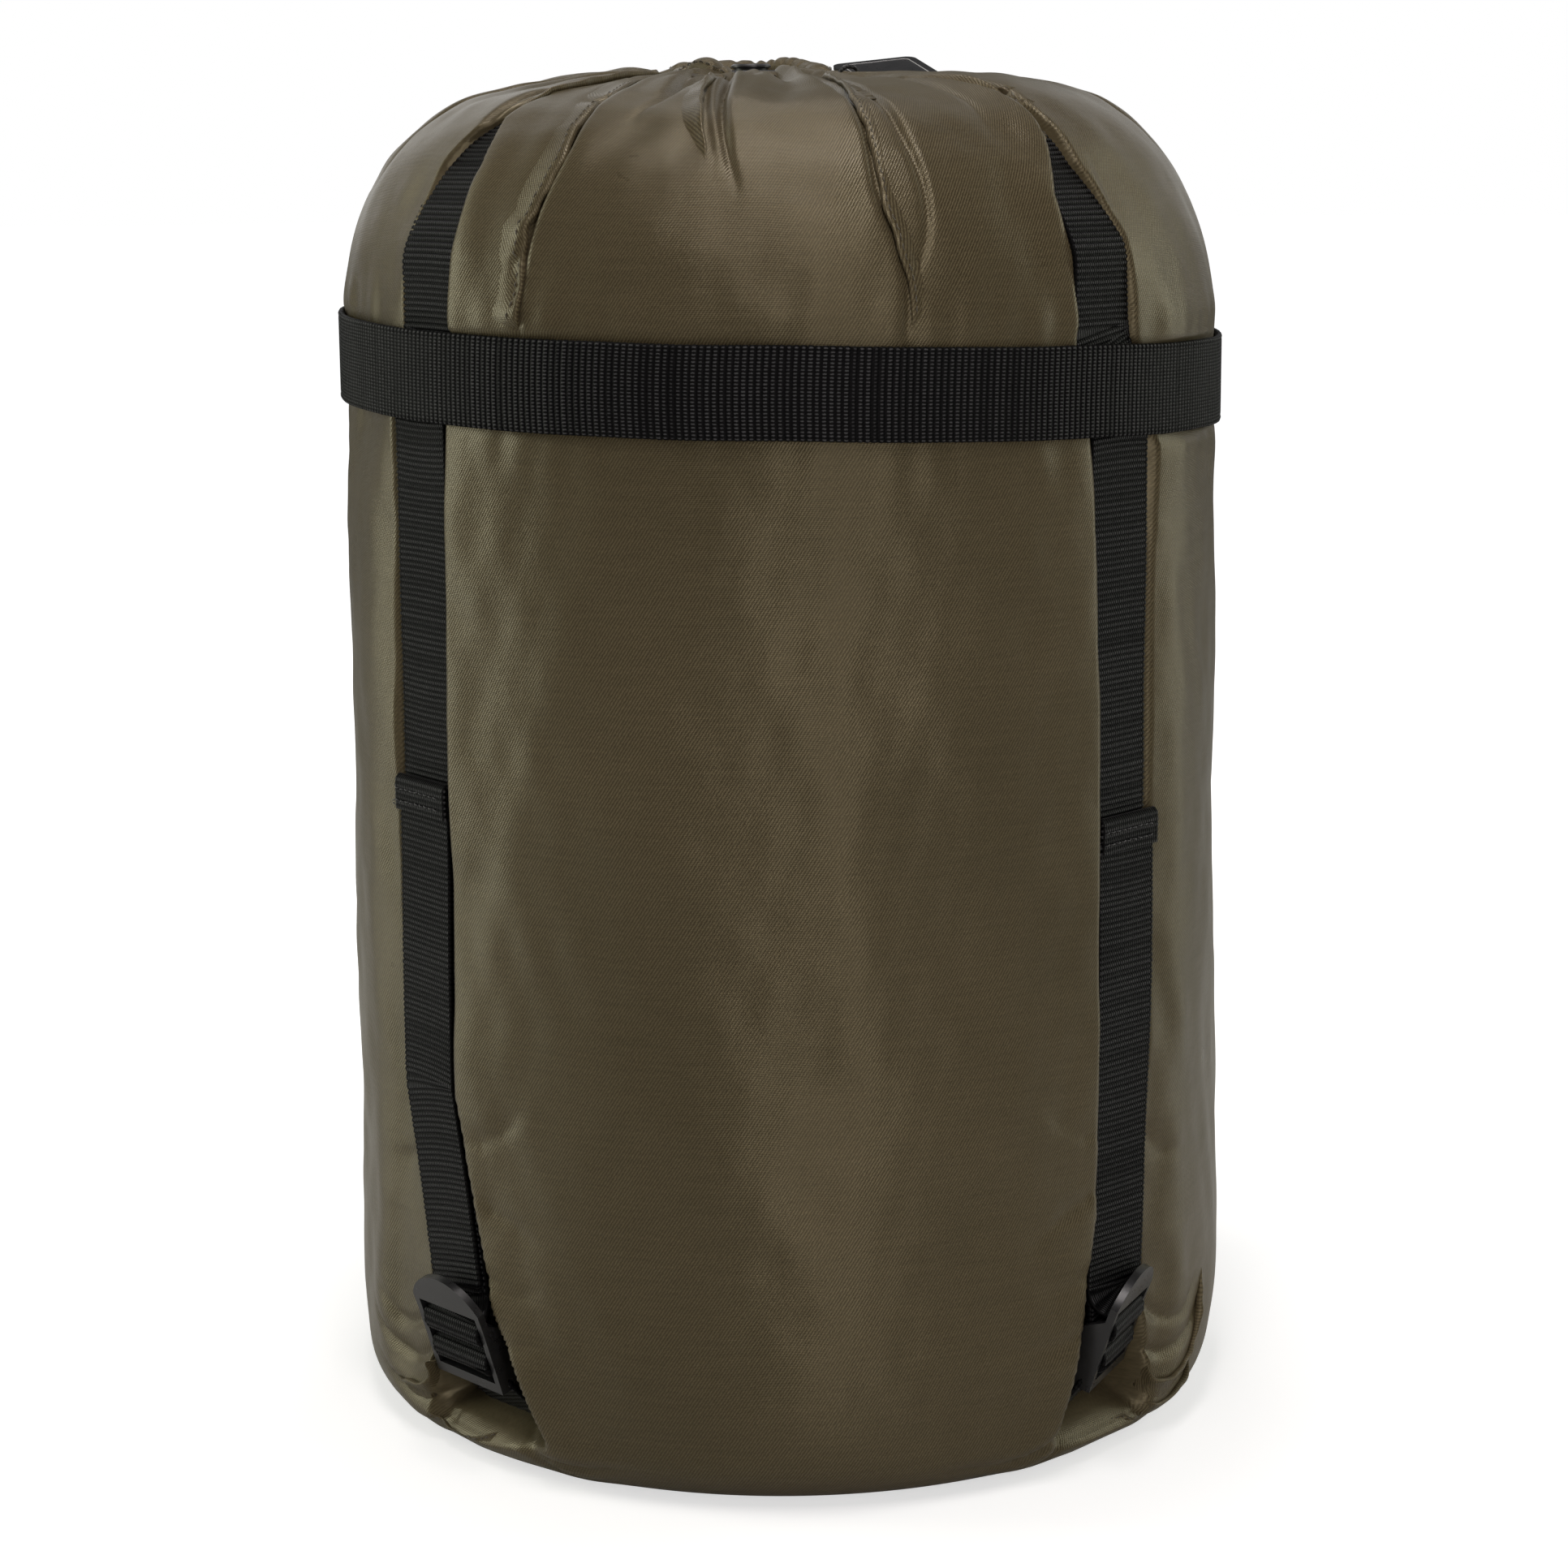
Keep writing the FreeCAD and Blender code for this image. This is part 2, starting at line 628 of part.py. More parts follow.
def build_lock():
    """Barrel cord lock standing in the mouth: housing, sprung plunger and its coil spring."""
    body = new_body("cord_lock_body")
    section = sketch_on(body, "XZ_Plane", "lock_section")
    round_off = "1.5"
    draw_outline(section, [
        ("0", "lock_low"),
        (f"lock_radius - {round_off}", "lock_low"),
        ("lock_radius", f"lock_low + {round_off}"),
        ("lock_radius", f"lock_top - {round_off}"),
        (f"lock_radius - {round_off}", "lock_top"),
        ("lock_bore", "lock_top"),
        ("lock_bore", "lock_low + lock_floor"),
        ("0", "lock_low + lock_floor"),
    ])
    add_revolution(body, "lock_turn", section)
    face = sketch_on(body, "YZ_Plane", "cord_holes")
    for side in ("-", ""):
        draw_circle(face, f"{side}cord_spacing / 2", "cord_hole_height", "cord_hole_radius")
    add_feature(body, "Pocket", "cord_bores", face, "lock_radius * 4", "Symmetric")
    body.Placement.Base.x = number("mouth_x")

    plunger = new_body("cord_lock_plunger")
    section = sketch_on(plunger, "XZ_Plane", "plunger_section")
    draw_outline(section, [
        ("0", "plunger_low"),
        ("plunger_radius", "plunger_low"),
        ("plunger_radius", "button_low"),
        ("button_radius", "button_low + 0.3"),
        ("button_radius", "button_top - 0.5"),
        ("button_radius - 0.8", "button_top"),
        ("0", "button_top"),
    ])
    add_revolution(plunger, "plunger_turn", section)
    face = sketch_on(plunger, "YZ_Plane", "plunger_holes")
    for side in ("-", ""):
        draw_circle(face, f"{side}cord_spacing / 2", "cord_hole_height + plunger_travel",
                    "cord_hole_radius * 0.9")
    add_feature(plunger, "Pocket", "plunger_bores", face, "lock_radius * 4", "Symmetric")
    plunger.Placement.Base.x = number("mouth_x")

    low = "(lock_low + lock_floor + spring_wire)"
    high = "(plunger_low - spring_wire)"
    path = bind(doc.addObject("Part::Helix", "spring_path"), Radius="spring_radius",
                Height=f"{high} - {low}", Pitch=f"({high} - {low}) / spring_turns")
    bind(path, **{".Placement.Base.z": low, ".Placement.Base.x": "mouth_x"})
    wire = bind(doc.addObject("Part::Circle", "spring_wire"), Radius="spring_wire")
    wire.Placement = turned(X_AXIS, 90)
    bind(wire, **{".Placement.Base.x": "mouth_x + spring_radius", ".Placement.Base.z": low})
    coil = doc.addObject("Part::Sweep", "cord_lock_spring")
    coil.Sections = [wire]
    coil.Spine = (path, ["Edge1"])
    coil.Solid = True
    coil.Frenet = True
    coil.Label = "cord_lock_spring"
    return [body, plunger, coil]


def build_tag():
    """Plain hang tag with rounded corners and the cord loop that ties it to the hem."""
    body = new_body("hang_tag")
    face = sketch_on(body, "XY_Plane", "tag_face")
    half_x = "tag_width / 2"
    half_y = "tag_length / 2"
    rest_x = f"({half_x} - tag_corner)"
    rest_y = f"({half_y} - tag_corner)"
    corners = []
    arcs = {}
    for sign_x, sign_y in ((-1, -1), (1, -1), (1, 1), (-1, 1)):
        upright = (f"{sign_x} * {half_x}", f"{sign_y} * {rest_y}")
        level = (f"{sign_x} * {rest_x}", f"{sign_y} * {half_y}")
        pair = [upright, level] if sign_x == sign_y else [level, upright]
        corners.extend(pair)
        reach = f"tag_corner * {math.sqrt(0.5)}"
        arcs[len(corners) - 2] = ("tag_corner", f"{sign_x} * ({rest_x} + {reach})",
                                  f"{sign_y} * ({rest_y} + {reach})")
    draw_outline(face, corners, arcs)
    draw_circle(face, f"tag_hole_inset - {half_x}", "0", "tag_hole_radius")
    add_feature(body, "Pad", "tag_plate", face, "tag_thickness")
    body.Placement = tag_place()
    loop = bind(doc.addObject("Part::Torus", "tag_loop"), Radius1="tag_loop_radius",
                Radius2="tag_cord_radius")
    loop.Label = "tag_loop"
    hole = FreeCAD.Vector(number("tag_hole_inset - tag_width / 2 - tag_loop_radius"), 0,
                          number("tag_thickness / 2"))
    loop.Placement = tag_place() * turned(X_AXIS, 90, hole)
    return [body, loop]


# ---------------------------------------------------------------- build, test, write

def build_all():
    nodes = build_sack() + build_band()
    for strap in STRAPS:
        nodes.append(build_strap(strap))
        nodes.extend(build_tail(strap))
        nodes.append(build_wrap(strap))
        nodes.append(build_anchor(strap))
        nodes.append(build_buckle(strap))
    nodes.append(build_stitching())
    nodes.extend(build_mouth())
    nodes.extend(build_lock())
    nodes.extend(build_tag())
    return nodes


def check(nodes):
    for item in doc.Objects:
        if "Invalid" in item.State or "Error" in item.State:
            raise RuntimeError(f"{item.Name} failed: {item.State}")
    for node in nodes:
        if node.Shape.isNull() or not node.Shape.isValid():
            raise RuntimeError(f"{node.Label} has no valid shape")


def write(nodes):
    os.makedirs("parts", exist_ok=True)
    for node in nodes:
        node.Shape.exportStep(f"parts/{node.Label}.step")
        low = node.Shape.BoundBox
        print(f"{node.Label:26s} solids {len(node.Shape.Solids)} volume {node.Shape.Volume:10.1f} "
              f"z {low.ZMin:6.1f} to {low.ZMax:6.1f}")


def report_hinges():
    """Print each hinge's place and axis in the part's frame, in metres, for the record."""
    for strap in STRAPS:
        place = hinge_place(strap)
        axis = place.Rotation.multVec(X_AXIS)
        print("hinge", strap, [round(v / 1000, 6) for v in place.Base], [round(v, 6) for v in axis])
        spot = FreeCAD.Vector(number(f"{strap}_shift"),
                              -number("valley + webbing + layer_gap"),
                              number("tail_low"))
        place = strap_place(strap)
        axis = place.Rotation.multVec(X_AXIS)
        print("tail", strap, [round(v / 1000, 6) for v in place.multVec(spot)],
              [round(v, 6) for v in axis])
    edge = tag_place().multVec(FreeCAD.Vector(-number("tag_width / 2"), 0, number("tag_thickness / 2")))
    axis = tag_place().Rotation.multVec(-Y_AXIS)
    print("tag", [round(v / 1000, 6) for v in edge], [round(v, 6) for v in axis])


all_nodes = build_all()
doc.recompute()
check(all_nodes)
write(all_nodes)
report_hinges()
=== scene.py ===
import math

import bpy
import numpy as np
from mathutils import Matrix, Vector
from mathutils.bvhtree import BVHTree


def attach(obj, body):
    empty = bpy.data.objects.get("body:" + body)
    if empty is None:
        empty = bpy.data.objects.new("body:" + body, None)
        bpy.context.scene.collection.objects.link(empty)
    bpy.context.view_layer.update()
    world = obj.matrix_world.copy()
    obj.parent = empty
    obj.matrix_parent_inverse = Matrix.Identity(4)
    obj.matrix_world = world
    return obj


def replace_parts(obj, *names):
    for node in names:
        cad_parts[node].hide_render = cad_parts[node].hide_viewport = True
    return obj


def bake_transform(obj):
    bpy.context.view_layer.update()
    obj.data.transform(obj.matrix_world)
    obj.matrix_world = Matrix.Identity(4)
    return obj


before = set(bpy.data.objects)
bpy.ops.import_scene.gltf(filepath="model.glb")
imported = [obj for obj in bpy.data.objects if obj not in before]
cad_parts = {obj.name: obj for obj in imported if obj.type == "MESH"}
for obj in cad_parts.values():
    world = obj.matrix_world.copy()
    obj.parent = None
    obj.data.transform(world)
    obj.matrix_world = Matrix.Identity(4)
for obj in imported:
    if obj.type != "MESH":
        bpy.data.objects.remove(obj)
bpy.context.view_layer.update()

# Compression stuff sack. Shapes are worked out in millimetres and written to meshes in metres.
# theta is the angle about the axis: 0 at the front (-Y), +90 at +X. A strap's own drawing has
# x along the wall, out = distance from the axis through the strap, and z up. A strap's flank is
# the side of it, -1 or 1, that is turned away from the front or the back. VALLEY is the strap's
# distance from the axis and GIRTH the radius by which angles become lengths along the wall.

MM = 0.001

SIDES = {
    "front_left": dict(theta=-50.0, flank=-1, shift=12.5, top_shift=6.0, twist=5.0, tail_top=198.0),
    "front_right": dict(theta=50.0, flank=1, shift=-1.0, top_shift=-8.0, twist=18.0, tail_top=188.0),
    "back_right": dict(theta=130.0, flank=-1, shift=-4.0, top_shift=3.0, twist=-8.0, tail_top=206.0),
    "back_left": dict(theta=-130.0, flank=1, shift=-7.0, top_shift=-2.0, twist=6.0, tail_top=181.0),
}
VALLEY = 125.0
GIRTH = 128.5
WEB_WIDTH = 25.0
WEB = 1.3
SLANT_LOW, SLANT_TOP = 47.0, 110.0
TUCK_TOP = 75.0
HINGE_OUT, HINGE_Z = 125.0, 33.0
STRAP_OUT = VALLEY - 0.15 + WEB / 2       # middle of the webbing of a strap that spans its tuck
TAIL_OUT = VALLEY + WEB * 1.5 + 0.3       # middle of the webbing of a tail that lies on its strap
REST_PITCH = math.radians(18.0)
BAND_Z, BAND_TILT = 310.0, 3.8
MOUTH = np.array([-8.0, 0.0])


# ---------------------------------------------------------------- small helpers

def smooth(a, b, x):
    """0 below a, 1 above b, and a smooth step between."""
    t = np.clip((np.asarray(x, float) - a) / (b - a), 0, 1)
    return t * t * (3 - 2 * t)


def bell(x, width):
    """1 at 0, falling away over a width to either side."""
    return np.exp(-(np.asarray(x, float) / width) ** 2)


def unit(v):
    """Vectors scaled to length 1."""
    v = np.asarray(v, float)
    return v / np.maximum(np.linalg.norm(v, axis=-1, keepdims=True), 1e-12)


def strung(values):
    """Points set out along one axis, for noise along a line."""
    return np.column_stack([values, values * 0, values * 0])


def wobble(points, wavelength, seed, stretch=(1, 1, 1), count=14):
    """Smooth seeded noise of about unit height, from waves in random directions."""
    rng = np.random.default_rng(seed)
    total = np.zeros(len(points))
    scaled = points / np.array(stretch, float)
    for _ in range(count):
        direction = unit(rng.normal(size=3))
        k = 2 * math.pi / (wavelength * rng.uniform(0.7, 1.5))
        total += np.sin(scaled @ direction * k + rng.uniform(0, 2 * math.pi))
    return total / math.sqrt(count / 2)


def catmull(points, step):
    """A smooth line through points, sampled about every step."""
    p = np.array(points, float)
    p = np.vstack([2 * p[0] - p[1], p, 2 * p[-1] - p[-2]])
    out = []
    for i in range(1, len(p) - 2):
        chord = np.linalg.norm(p[i + 1] - p[i])
        n = max(2, int(math.ceil(chord / step)))
        d = [max(np.linalg.norm(p[j + 1] - p[j]), 1e-6) ** 0.5 for j in (i - 1, i, i + 1)]
        m1 = (p[i + 1] - p[i]) + d[1] * ((p[i] - p[i - 1]) / d[0] - (p[i + 1] - p[i - 1]) / (d[0] + d[1]))
        m2 = (p[i + 1] - p[i]) + d[1] * ((p[i + 2] - p[i + 1]) / d[2] - (p[i + 2] - p[i]) / (d[1] + d[2]))
        for t in np.arange(n) / n:
            h = (2 * t**3 - 3 * t**2 + 1, t**3 - 2 * t**2 + t, -2 * t**3 + 3 * t**2, t**3 - t**2)
            out.append(h[0] * p[i] + h[1] * m1 + h[2] * p[i + 1] + h[3] * m2)
    out.append(p[-2])
    return np.array(out)


def resample(line, step=None, count=None):
    """Points at equal arc length along a polyline, and the arc length at each."""
    seg = np.linalg.norm(np.diff(line, axis=0), axis=1)
    s = np.concatenate([[0], np.cumsum(seg)])
    n = count or max(2, int(round(s[-1] / step)) + 1)
    at = np.linspace(0, s[-1], n)
    return np.stack([np.interp(at, s, line[:, i]) for i in range(line.shape[1])], 1), at


def mesh_piece(name, verts, faces, body=None, material=None, uv=None):
    """A smooth-shaded mesh from points in millimetres."""
    mesh = bpy.data.meshes.new(name)
    verts = np.asarray(verts, float) * MM
    faces = np.asarray(faces, np.int32)
    mesh.vertices.add(len(verts))
    mesh.vertices.foreach_set("co", verts.astype(np.float32).ravel())
    mesh.loops.add(faces.size)
    mesh.loops.foreach_set("vertex_index", faces.ravel())
    mesh.polygons.add(len(faces))
    width = faces.shape[1]
    mesh.polygons.foreach_set("loop_start", np.arange(0, faces.size, width, dtype=np.int32))
    mesh.polygons.foreach_set("use_smooth", np.ones(len(faces), bool))
    if uv is not None:
        layer = mesh.uv_layers.new(name="weave")
        layer.data.foreach_set("uv", np.asarray(uv, np.float32)[faces.ravel()].ravel())
    mesh.update(calc_edges=True)
    mesh.validate()
    if material:
        mesh.materials.append(material)
    return stand(name, mesh, body)


def plain_mesh(name, verts, polygons, material):
    """A smooth-shaded mesh of mixed polygons, and the point of each of its face corners."""
    mesh = bpy.data.meshes.new(name)
    mesh.from_pydata((verts * MM).tolist(), [], polygons)
    mesh.polygons.foreach_set("use_smooth", np.ones(len(mesh.polygons), bool))
    mesh.materials.append(material)
    corners = np.zeros(len(mesh.loops), np.int32)
    mesh.loops.foreach_get("vertex_index", corners)
    return mesh, corners


def add_uv(mesh, corner_uv):
    """The weave's coordinates at each face corner."""
    mesh.uv_layers.new(name="weave").data.foreach_set("uv", corner_uv.astype(np.float32).ravel())


def add_value(mesh, name, values):
    """A number for each point, for a material to read."""
    attribute = mesh.attributes.new(name, "FLOAT", "POINT")
    attribute.data.foreach_set("value", values.astype(np.float32))


def stand(name, mesh, body=None):
    """Put a mesh in the scene, as a piece of the object where it has a body."""
    mesh.update()
    obj = bpy.data.objects.new(name, mesh)
    bpy.context.scene.collection.objects.link(obj)
    if body:
        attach(obj, body)
    return obj


def grid_faces(rows, columns, wrap):
    """Quads of a grid of points stored row by row; wrap joins the last column to the first."""
    i = np.arange(rows - 1)[:, None]
    j = np.arange(columns if wrap else columns - 1)[None, :]
    k = (j + 1) % columns
    quads = np.stack([i * columns + j, i * columns + k, (i + 1) * columns + k, (i + 1) * columns + j], -1)
    return quads.reshape(-1, 4)


def ring_faces(rows, columns):
    """Quads of a grid whose last column joins its first, and whose last row joins its first."""
    first = np.arange(columns)
    last = first + (rows - 1) * columns
    closing = np.stack([last, np.roll(last, -1), np.roll(first, -1), first], 1)
    return np.vstack([grid_faces(rows, columns, True), closing])


def tube(points, radius, sides=10, closed=False):
    """Points and quads of a round tube along a line of points; open ends are drawn to a tip."""
    p = np.array(points, float)
    t = unit(np.roll(p, -1, 0) - np.roll(p, 1, 0)) if closed else unit(np.gradient(p, axis=0))
    normal = np.zeros_like(p)
    first = np.cross(t[0], [0.3, 0.2, 0.93])
    normal[0] = unit(first)
    for i in range(1, len(p)):
        normal[i] = unit(normal[i - 1] - t[i] * (normal[i - 1] @ t[i]))
    if closed:
        turn = math.atan2(np.cross(normal[-1], normal[0]) @ t[0], normal[-1] @ normal[0])
        for i in range(len(p)):
            a = turn * i / len(p)
            normal[i] = normal[i] * math.cos(a) + np.cross(t[i], normal[i]) * math.sin(a)
    other = np.cross(t, normal)
    r = np.broadcast_to(np.asarray(radius, float), (len(p),)).copy()
    if not closed:
        p = np.vstack([p[0] - t[0] * r[0] * 0.5, p, p[-1] + t[-1] * r[-1] * 0.5])
        normal = np.vstack([normal[0], normal, normal[-1]])
        other = np.vstack([other[0], other, other[-1]])
        r = np.concatenate([[r[0] * 0.25], r, [r[-1] * 0.25]])
    a = np.arange(sides) * 2 * math.pi / sides
    ring = p[:, None] + r[:, None, None] * (np.cos(a)[None, :, None] * normal[:, None]
                                            + np.sin(a)[None, :, None] * other[:, None])
    faces = ring_faces(len(p), sides) if closed else grid_faces(len(p), sides, True)
    return ring.reshape(-1, 3), faces


def threads(name, lines, radius, body, material, slot="thread", closed=False):
    """Many thin lines as one piece."""
    verts, faces, n = [], [], 0
    for line in lines:
        v, f = tube(line, radius, 6, closed)
        verts.append(v)
        faces.append(f + n)
        n += len(v)
    return mesh_piece(name, np.vstack(verts), np.vstack(faces), body, material)


# ---------------------------------------------------------------- materials

class Nodes:
    """Short ways to lay out a material's nodes."""

    def __init__(self, name):
        self.material = bpy.data.materials.new(name)
        self.material.use_nodes = True
        self.tree = self.material.node_tree
        self.shader = self.tree.nodes["Principled BSDF"]

    def add(self, kind, **settings):
        """A node, with its own settings and its inputs' values by name."""
        node = self.tree.nodes.new(kind)
        for key, value in settings.items():
            if hasattr(node, key):
                setattr(node, key, value)
            else:
                node.inputs[key.replace("_", " ")].default_value = value
        return node

    def link(self, source, target):
        self.tree.links.new(source, target)

    def put(self, socket, value):
        """Feed a socket from another node, or give it a number or a colour."""
        if isinstance(value, tuple):
            socket.default_value = (*value, 1)
        elif isinstance(value, (int, float)):
            socket.default_value = value
        else:
            self.link(value, socket)

    def place(self, source, scale):
        """Texture coordinates times a scale."""
        coords = self.add("ShaderNodeTexCoord")
        mapping = self.add("ShaderNodeMapping", Scale=scale)
        self.link(coords.outputs[source], mapping.inputs["Vector"])
        return mapping.outputs["Vector"]

    # the rest give the output of one more node of the kind they are named after

    def noise(self, place, scale, detail=4.0, roughness=0.55):
        node = self.add("ShaderNodeTexNoise", Scale=scale, Detail=detail, Roughness=roughness)
        self.link(place, node.inputs["Vector"])
        return node.outputs["Fac"]

    def wave(self, place, scale, direction="X", distortion=0.0, detail_scale=1.0):
        node = self.add("ShaderNodeTexWave", bands_direction=direction, wave_profile="SIN", Scale=scale,
                        Distortion=distortion, Detail=1.0, Detail_Scale=detail_scale)
        self.link(place, node.inputs["Vector"])
        return node.outputs["Fac"]

    def math(self, operation, a, b):
        node = self.add("ShaderNodeMath", operation=operation)
        self.put(node.inputs[0], a)
        self.put(node.inputs[1], b)
        return node.outputs[0]

    def ramp(self, fac, *stops):
        node = self.add("ShaderNodeValToRGB")
        for element, (at, colour) in zip(node.color_ramp.elements, stops):
            element.position = at
            element.color = (*colour, 1) if isinstance(colour, tuple) else (colour, colour, colour, 1)
        self.link(fac, node.inputs["Fac"])
        return node.outputs["Color"]

    def mix(self, kind, fac, a, b):
        node = self.add("ShaderNodeMix", data_type="RGBA", blend_type=kind)
        colours = [s for s in node.inputs if s.type == "RGBA"]
        factor = [s for s in node.inputs if s.type == "VALUE" and s.name == "Factor"][0]
        for socket, value in ((factor, fac), (colours[0], a), (colours[1], b)):
            self.put(socket, value)
        return [s for s in node.outputs if s.type == "RGBA"][0]

    def bump(self, height, strength, distance, after=None):
        node = self.add("ShaderNodeBump", Strength=strength, Distance=distance)
        self.link(height, node.inputs["Height"])
        if after is not None:
            self.link(after, node.inputs["Normal"])
        return node.outputs["Normal"]

    def finish(self, colour, roughness, normal=None, **settings):
        """Feed the shader, set its plain values, and give the material."""
        for name, source in (("Base Color", colour), ("Roughness", roughness), ("Normal", normal)):
            if source is not None:
                self.put(self.shader.inputs[name], source)
        for name, value in settings.items():
            self.shader.inputs[name.replace("_", " ")].default_value = value
        return self.material


def sack_cloth():
    """Two-tone coated nylon twill: brown one way of the thread, olive the other."""
    n = Nodes("sack_cloth")
    weave = n.place("UV", (1, 1, 1))
    turned = n.add("ShaderNodeMapping", Rotation=(0, 0, math.radians(32)))
    n.link(weave, turned.inputs["Vector"])
    twill = n.wave(turned.outputs["Vector"], 400, "X", 1.4, 3.0)
    threads = n.wave(weave, 900, "Y", 0.6, 2.0)
    body = n.place("Object", (1, 1, 1))
    cloud = n.noise(body, 9, 5.0, 0.62)
    slub = n.noise(n.place("UV", (40, 900, 1)), 1.0, 3.0, 0.6)
    speck = n.noise(weave, 1300, 2.0, 0.6)
    olive = n.ramp(cloud, (0.32, (0.100, 0.083, 0.045)), (0.68, (0.138, 0.112, 0.063)))
    strain = n.add("ShaderNodeAttribute", attribute_name="strain").outputs["Fac"]
    shown = n.math("MULTIPLY", n.ramp(twill, (0.3, 0.0), (0.7, 0.86)), n.math("SUBTRACT", 1.0, strain))
    even = n.math("ADD", shown, n.math("MULTIPLY", strain, 0.43))
    brown = n.mix("MIX", even, olive, (0.050, 0.036, 0.020))
    streaked = n.mix("MULTIPLY", 0.5, brown, n.ramp(slub, (0.35, 0.72), (0.65, 1.0)))
    colour = n.mix("MULTIPLY", 0.45, streaked, n.ramp(speck, (0.35, 0.45), (0.65, 1.0)))
    rough = n.ramp(n.noise(body, 22, 4.0), (0.3, 0.27), (0.7, 0.36))
    crumple = n.bump(n.noise(body, 26, 5.0, 0.55), 0.42, 0.0022)
    soft = n.bump(n.noise(n.place("UV", (12, 90, 1)), 1.0, 4.0, 0.6), 0.35, 0.0008, crumple)
    grain = n.math("MULTIPLY", n.math("ADD", twill, threads), n.math("SUBTRACT", 1.0, strain))
    fine = n.bump(grain, 0.35, 0.00012, soft)
    return n.finish(colour, rough, fine, Sheen_Weight=0.05, Sheen_Roughness=0.4,
                    Sheen_Tint=(0.95, 0.86, 0.66, 1), Specular_IOR_Level=0.42,
                    Specular_Tint=(1.0, 0.88, 0.58, 1))


def webbing():
    """Black woven polypropylene: a painted highlight on the thread floats along the crest of each rib, and
    painted shade in the grooves between ribs.
    """
    n = Nodes("webbing")
    place = n.place("UV", (1, 1, 1))
    crest = n.add("ShaderNodeAttribute", attribute_name="crest").outputs["Fac"]
    floats = n.wave(place, 330, "X", 1.2, 6.0)
    fuzz = n.noise(place, 1400, 3.0, 0.7)
    patch = n.noise(n.place("Object", (1, 1, 1)), 30, 3.0)
    # painted highlight: the thread floats are lightened where light would glint on them
    top = n.ramp(floats, (0.45, 0.004), (0.92, (0.062, 0.062, 0.064)))
    # painted shade: below the crest of each rib the colour goes near black, and only the crests keep the
    # painted highlight of the floats
    dark = n.mix("MIX", n.ramp(crest, (0.62, 0.0), (0.98, 1.0)), (0.0018, 0.0018, 0.002), top)
    colour = n.mix("MIX", n.ramp(fuzz, (0.7, 0.0), (0.86, 0.2)), dark, (0.035, 0.035, 0.037))
    rough = n.ramp(patch, (0.3, 0.40), (0.7, 0.52))
    normal = n.bump(n.math("ADD", floats, fuzz), 0.5, 0.00025)
    return n.finish(colour, rough, normal, Specular_IOR_Level=0.07)


def thread(name, colour):
    """Twisted sewing thread."""
    n = Nodes(name)
    twist = n.wave(n.place("Object", (1, 1, 1)), 900, "DIAGONAL", 1.0)
    shade = n.mix("MULTIPLY", 0.6, colour, n.ramp(twist, (0.2, 0.45), (0.8, 1.0)))
    return n.finish(shade, 0.55, n.bump(twist, 0.6, 0.00015), Sheen_Weight=0.2)


def plastic(name, colour, rough=0.36):
    """Moulded acetal: satin, with the fine grain of the mould and faint handling marks."""
    n = Nodes(name)
    place = n.place("Object", (1, 1, 1))
    grain = n.noise(place, 1800, 3.0, 0.6)
    marks = n.noise(place, 140, 5.0, 0.7)
    shade = n.ramp(marks, (0.35, colour), (0.75, tuple(c * 1.5 for c in colour)))
    gloss = n.ramp(marks, (0.3, rough), (0.7, rough + 0.12))
    normal = n.bump(marks, 0.08, 0.0003, n.bump(grain, 0.25, 0.00006))
    return n.finish(shade, gloss, normal, Specular_IOR_Level=0.55)


def cord_cloth():
    """Black cord with a fine crossed braid."""
    n = Nodes("drawcord")
    place = n.place("Object", (1, 1, 1))
    braid = n.wave(place, 420, "DIAGONAL", 0.5)
    other = n.wave(n.place("Object", (-1, 1, 1)), 420, "DIAGONAL", 0.5)
    height = n.math("MULTIPLY", braid, other)
    colour = n.ramp(height, (0.1, (0.008, 0.008, 0.009)), (0.8, (0.035, 0.035, 0.037)))
    return n.finish(colour, 0.6, n.bump(height, 0.8, 0.0003), Sheen_Weight=0.2)


def spring_steel():
    """Drawn wire."""
    n = Nodes("spring_wire")
    marks = n.noise(n.place("Object", (1, 1, 1)), 500, 4.0)
    return n.finish(n.ramp(marks, (0.3, (0.45, 0.45, 0.44)), (0.7, (0.62, 0.61, 0.6))),
                    n.ramp(marks, (0.3, 0.2), (0.7, 0.36)), None, Metallic=1.0)


def tag_card():
    """Laminated dark card."""
    n = Nodes("tag_card")
    place = n.place("Object", (1, 1, 1))
    fibre = n.noise(place, 420, 5.0, 0.65)
    colour = n.ramp(fibre, (0.3, (0.006, 0.006, 0.007)), (0.75, (0.014, 0.014, 0.015)))
    return n.finish(colour, n.ramp(fibre, (0.3, 0.26), (0.7, 0.4)), n.bump(fibre, 0.2, 0.0001),
                    Coat_Weight=0.12, Coat_Roughness=0.25, Specular_IOR_Level=0.25)


CLOTH = sack_cloth()
WEBBING = webbing()
BLACK_THREAD = thread("black_thread", (0.02, 0.02, 0.022))
OLIVE_THREAD = thread("olive_thread", (0.075, 0.062, 0.036))
BUCKLE_PLASTIC = plastic("buckle_plastic", (0.009, 0.009, 0.0095), 0.24)
LOCK_PLASTIC = plastic("lock_plastic", (0.02, 0.02, 0.021), 0.3)
CORD = cord_cloth()
WIRE = spring_steel()
CARD = tag_card()
CARD_LINE = plastic("tag_line", (0.34, 0.34, 0.34), 0.4)


# ---------------------------------------------------------------- camera, lights, floor

LIT_HEIGHT = 0.2        # where the lights are turned to, in metres


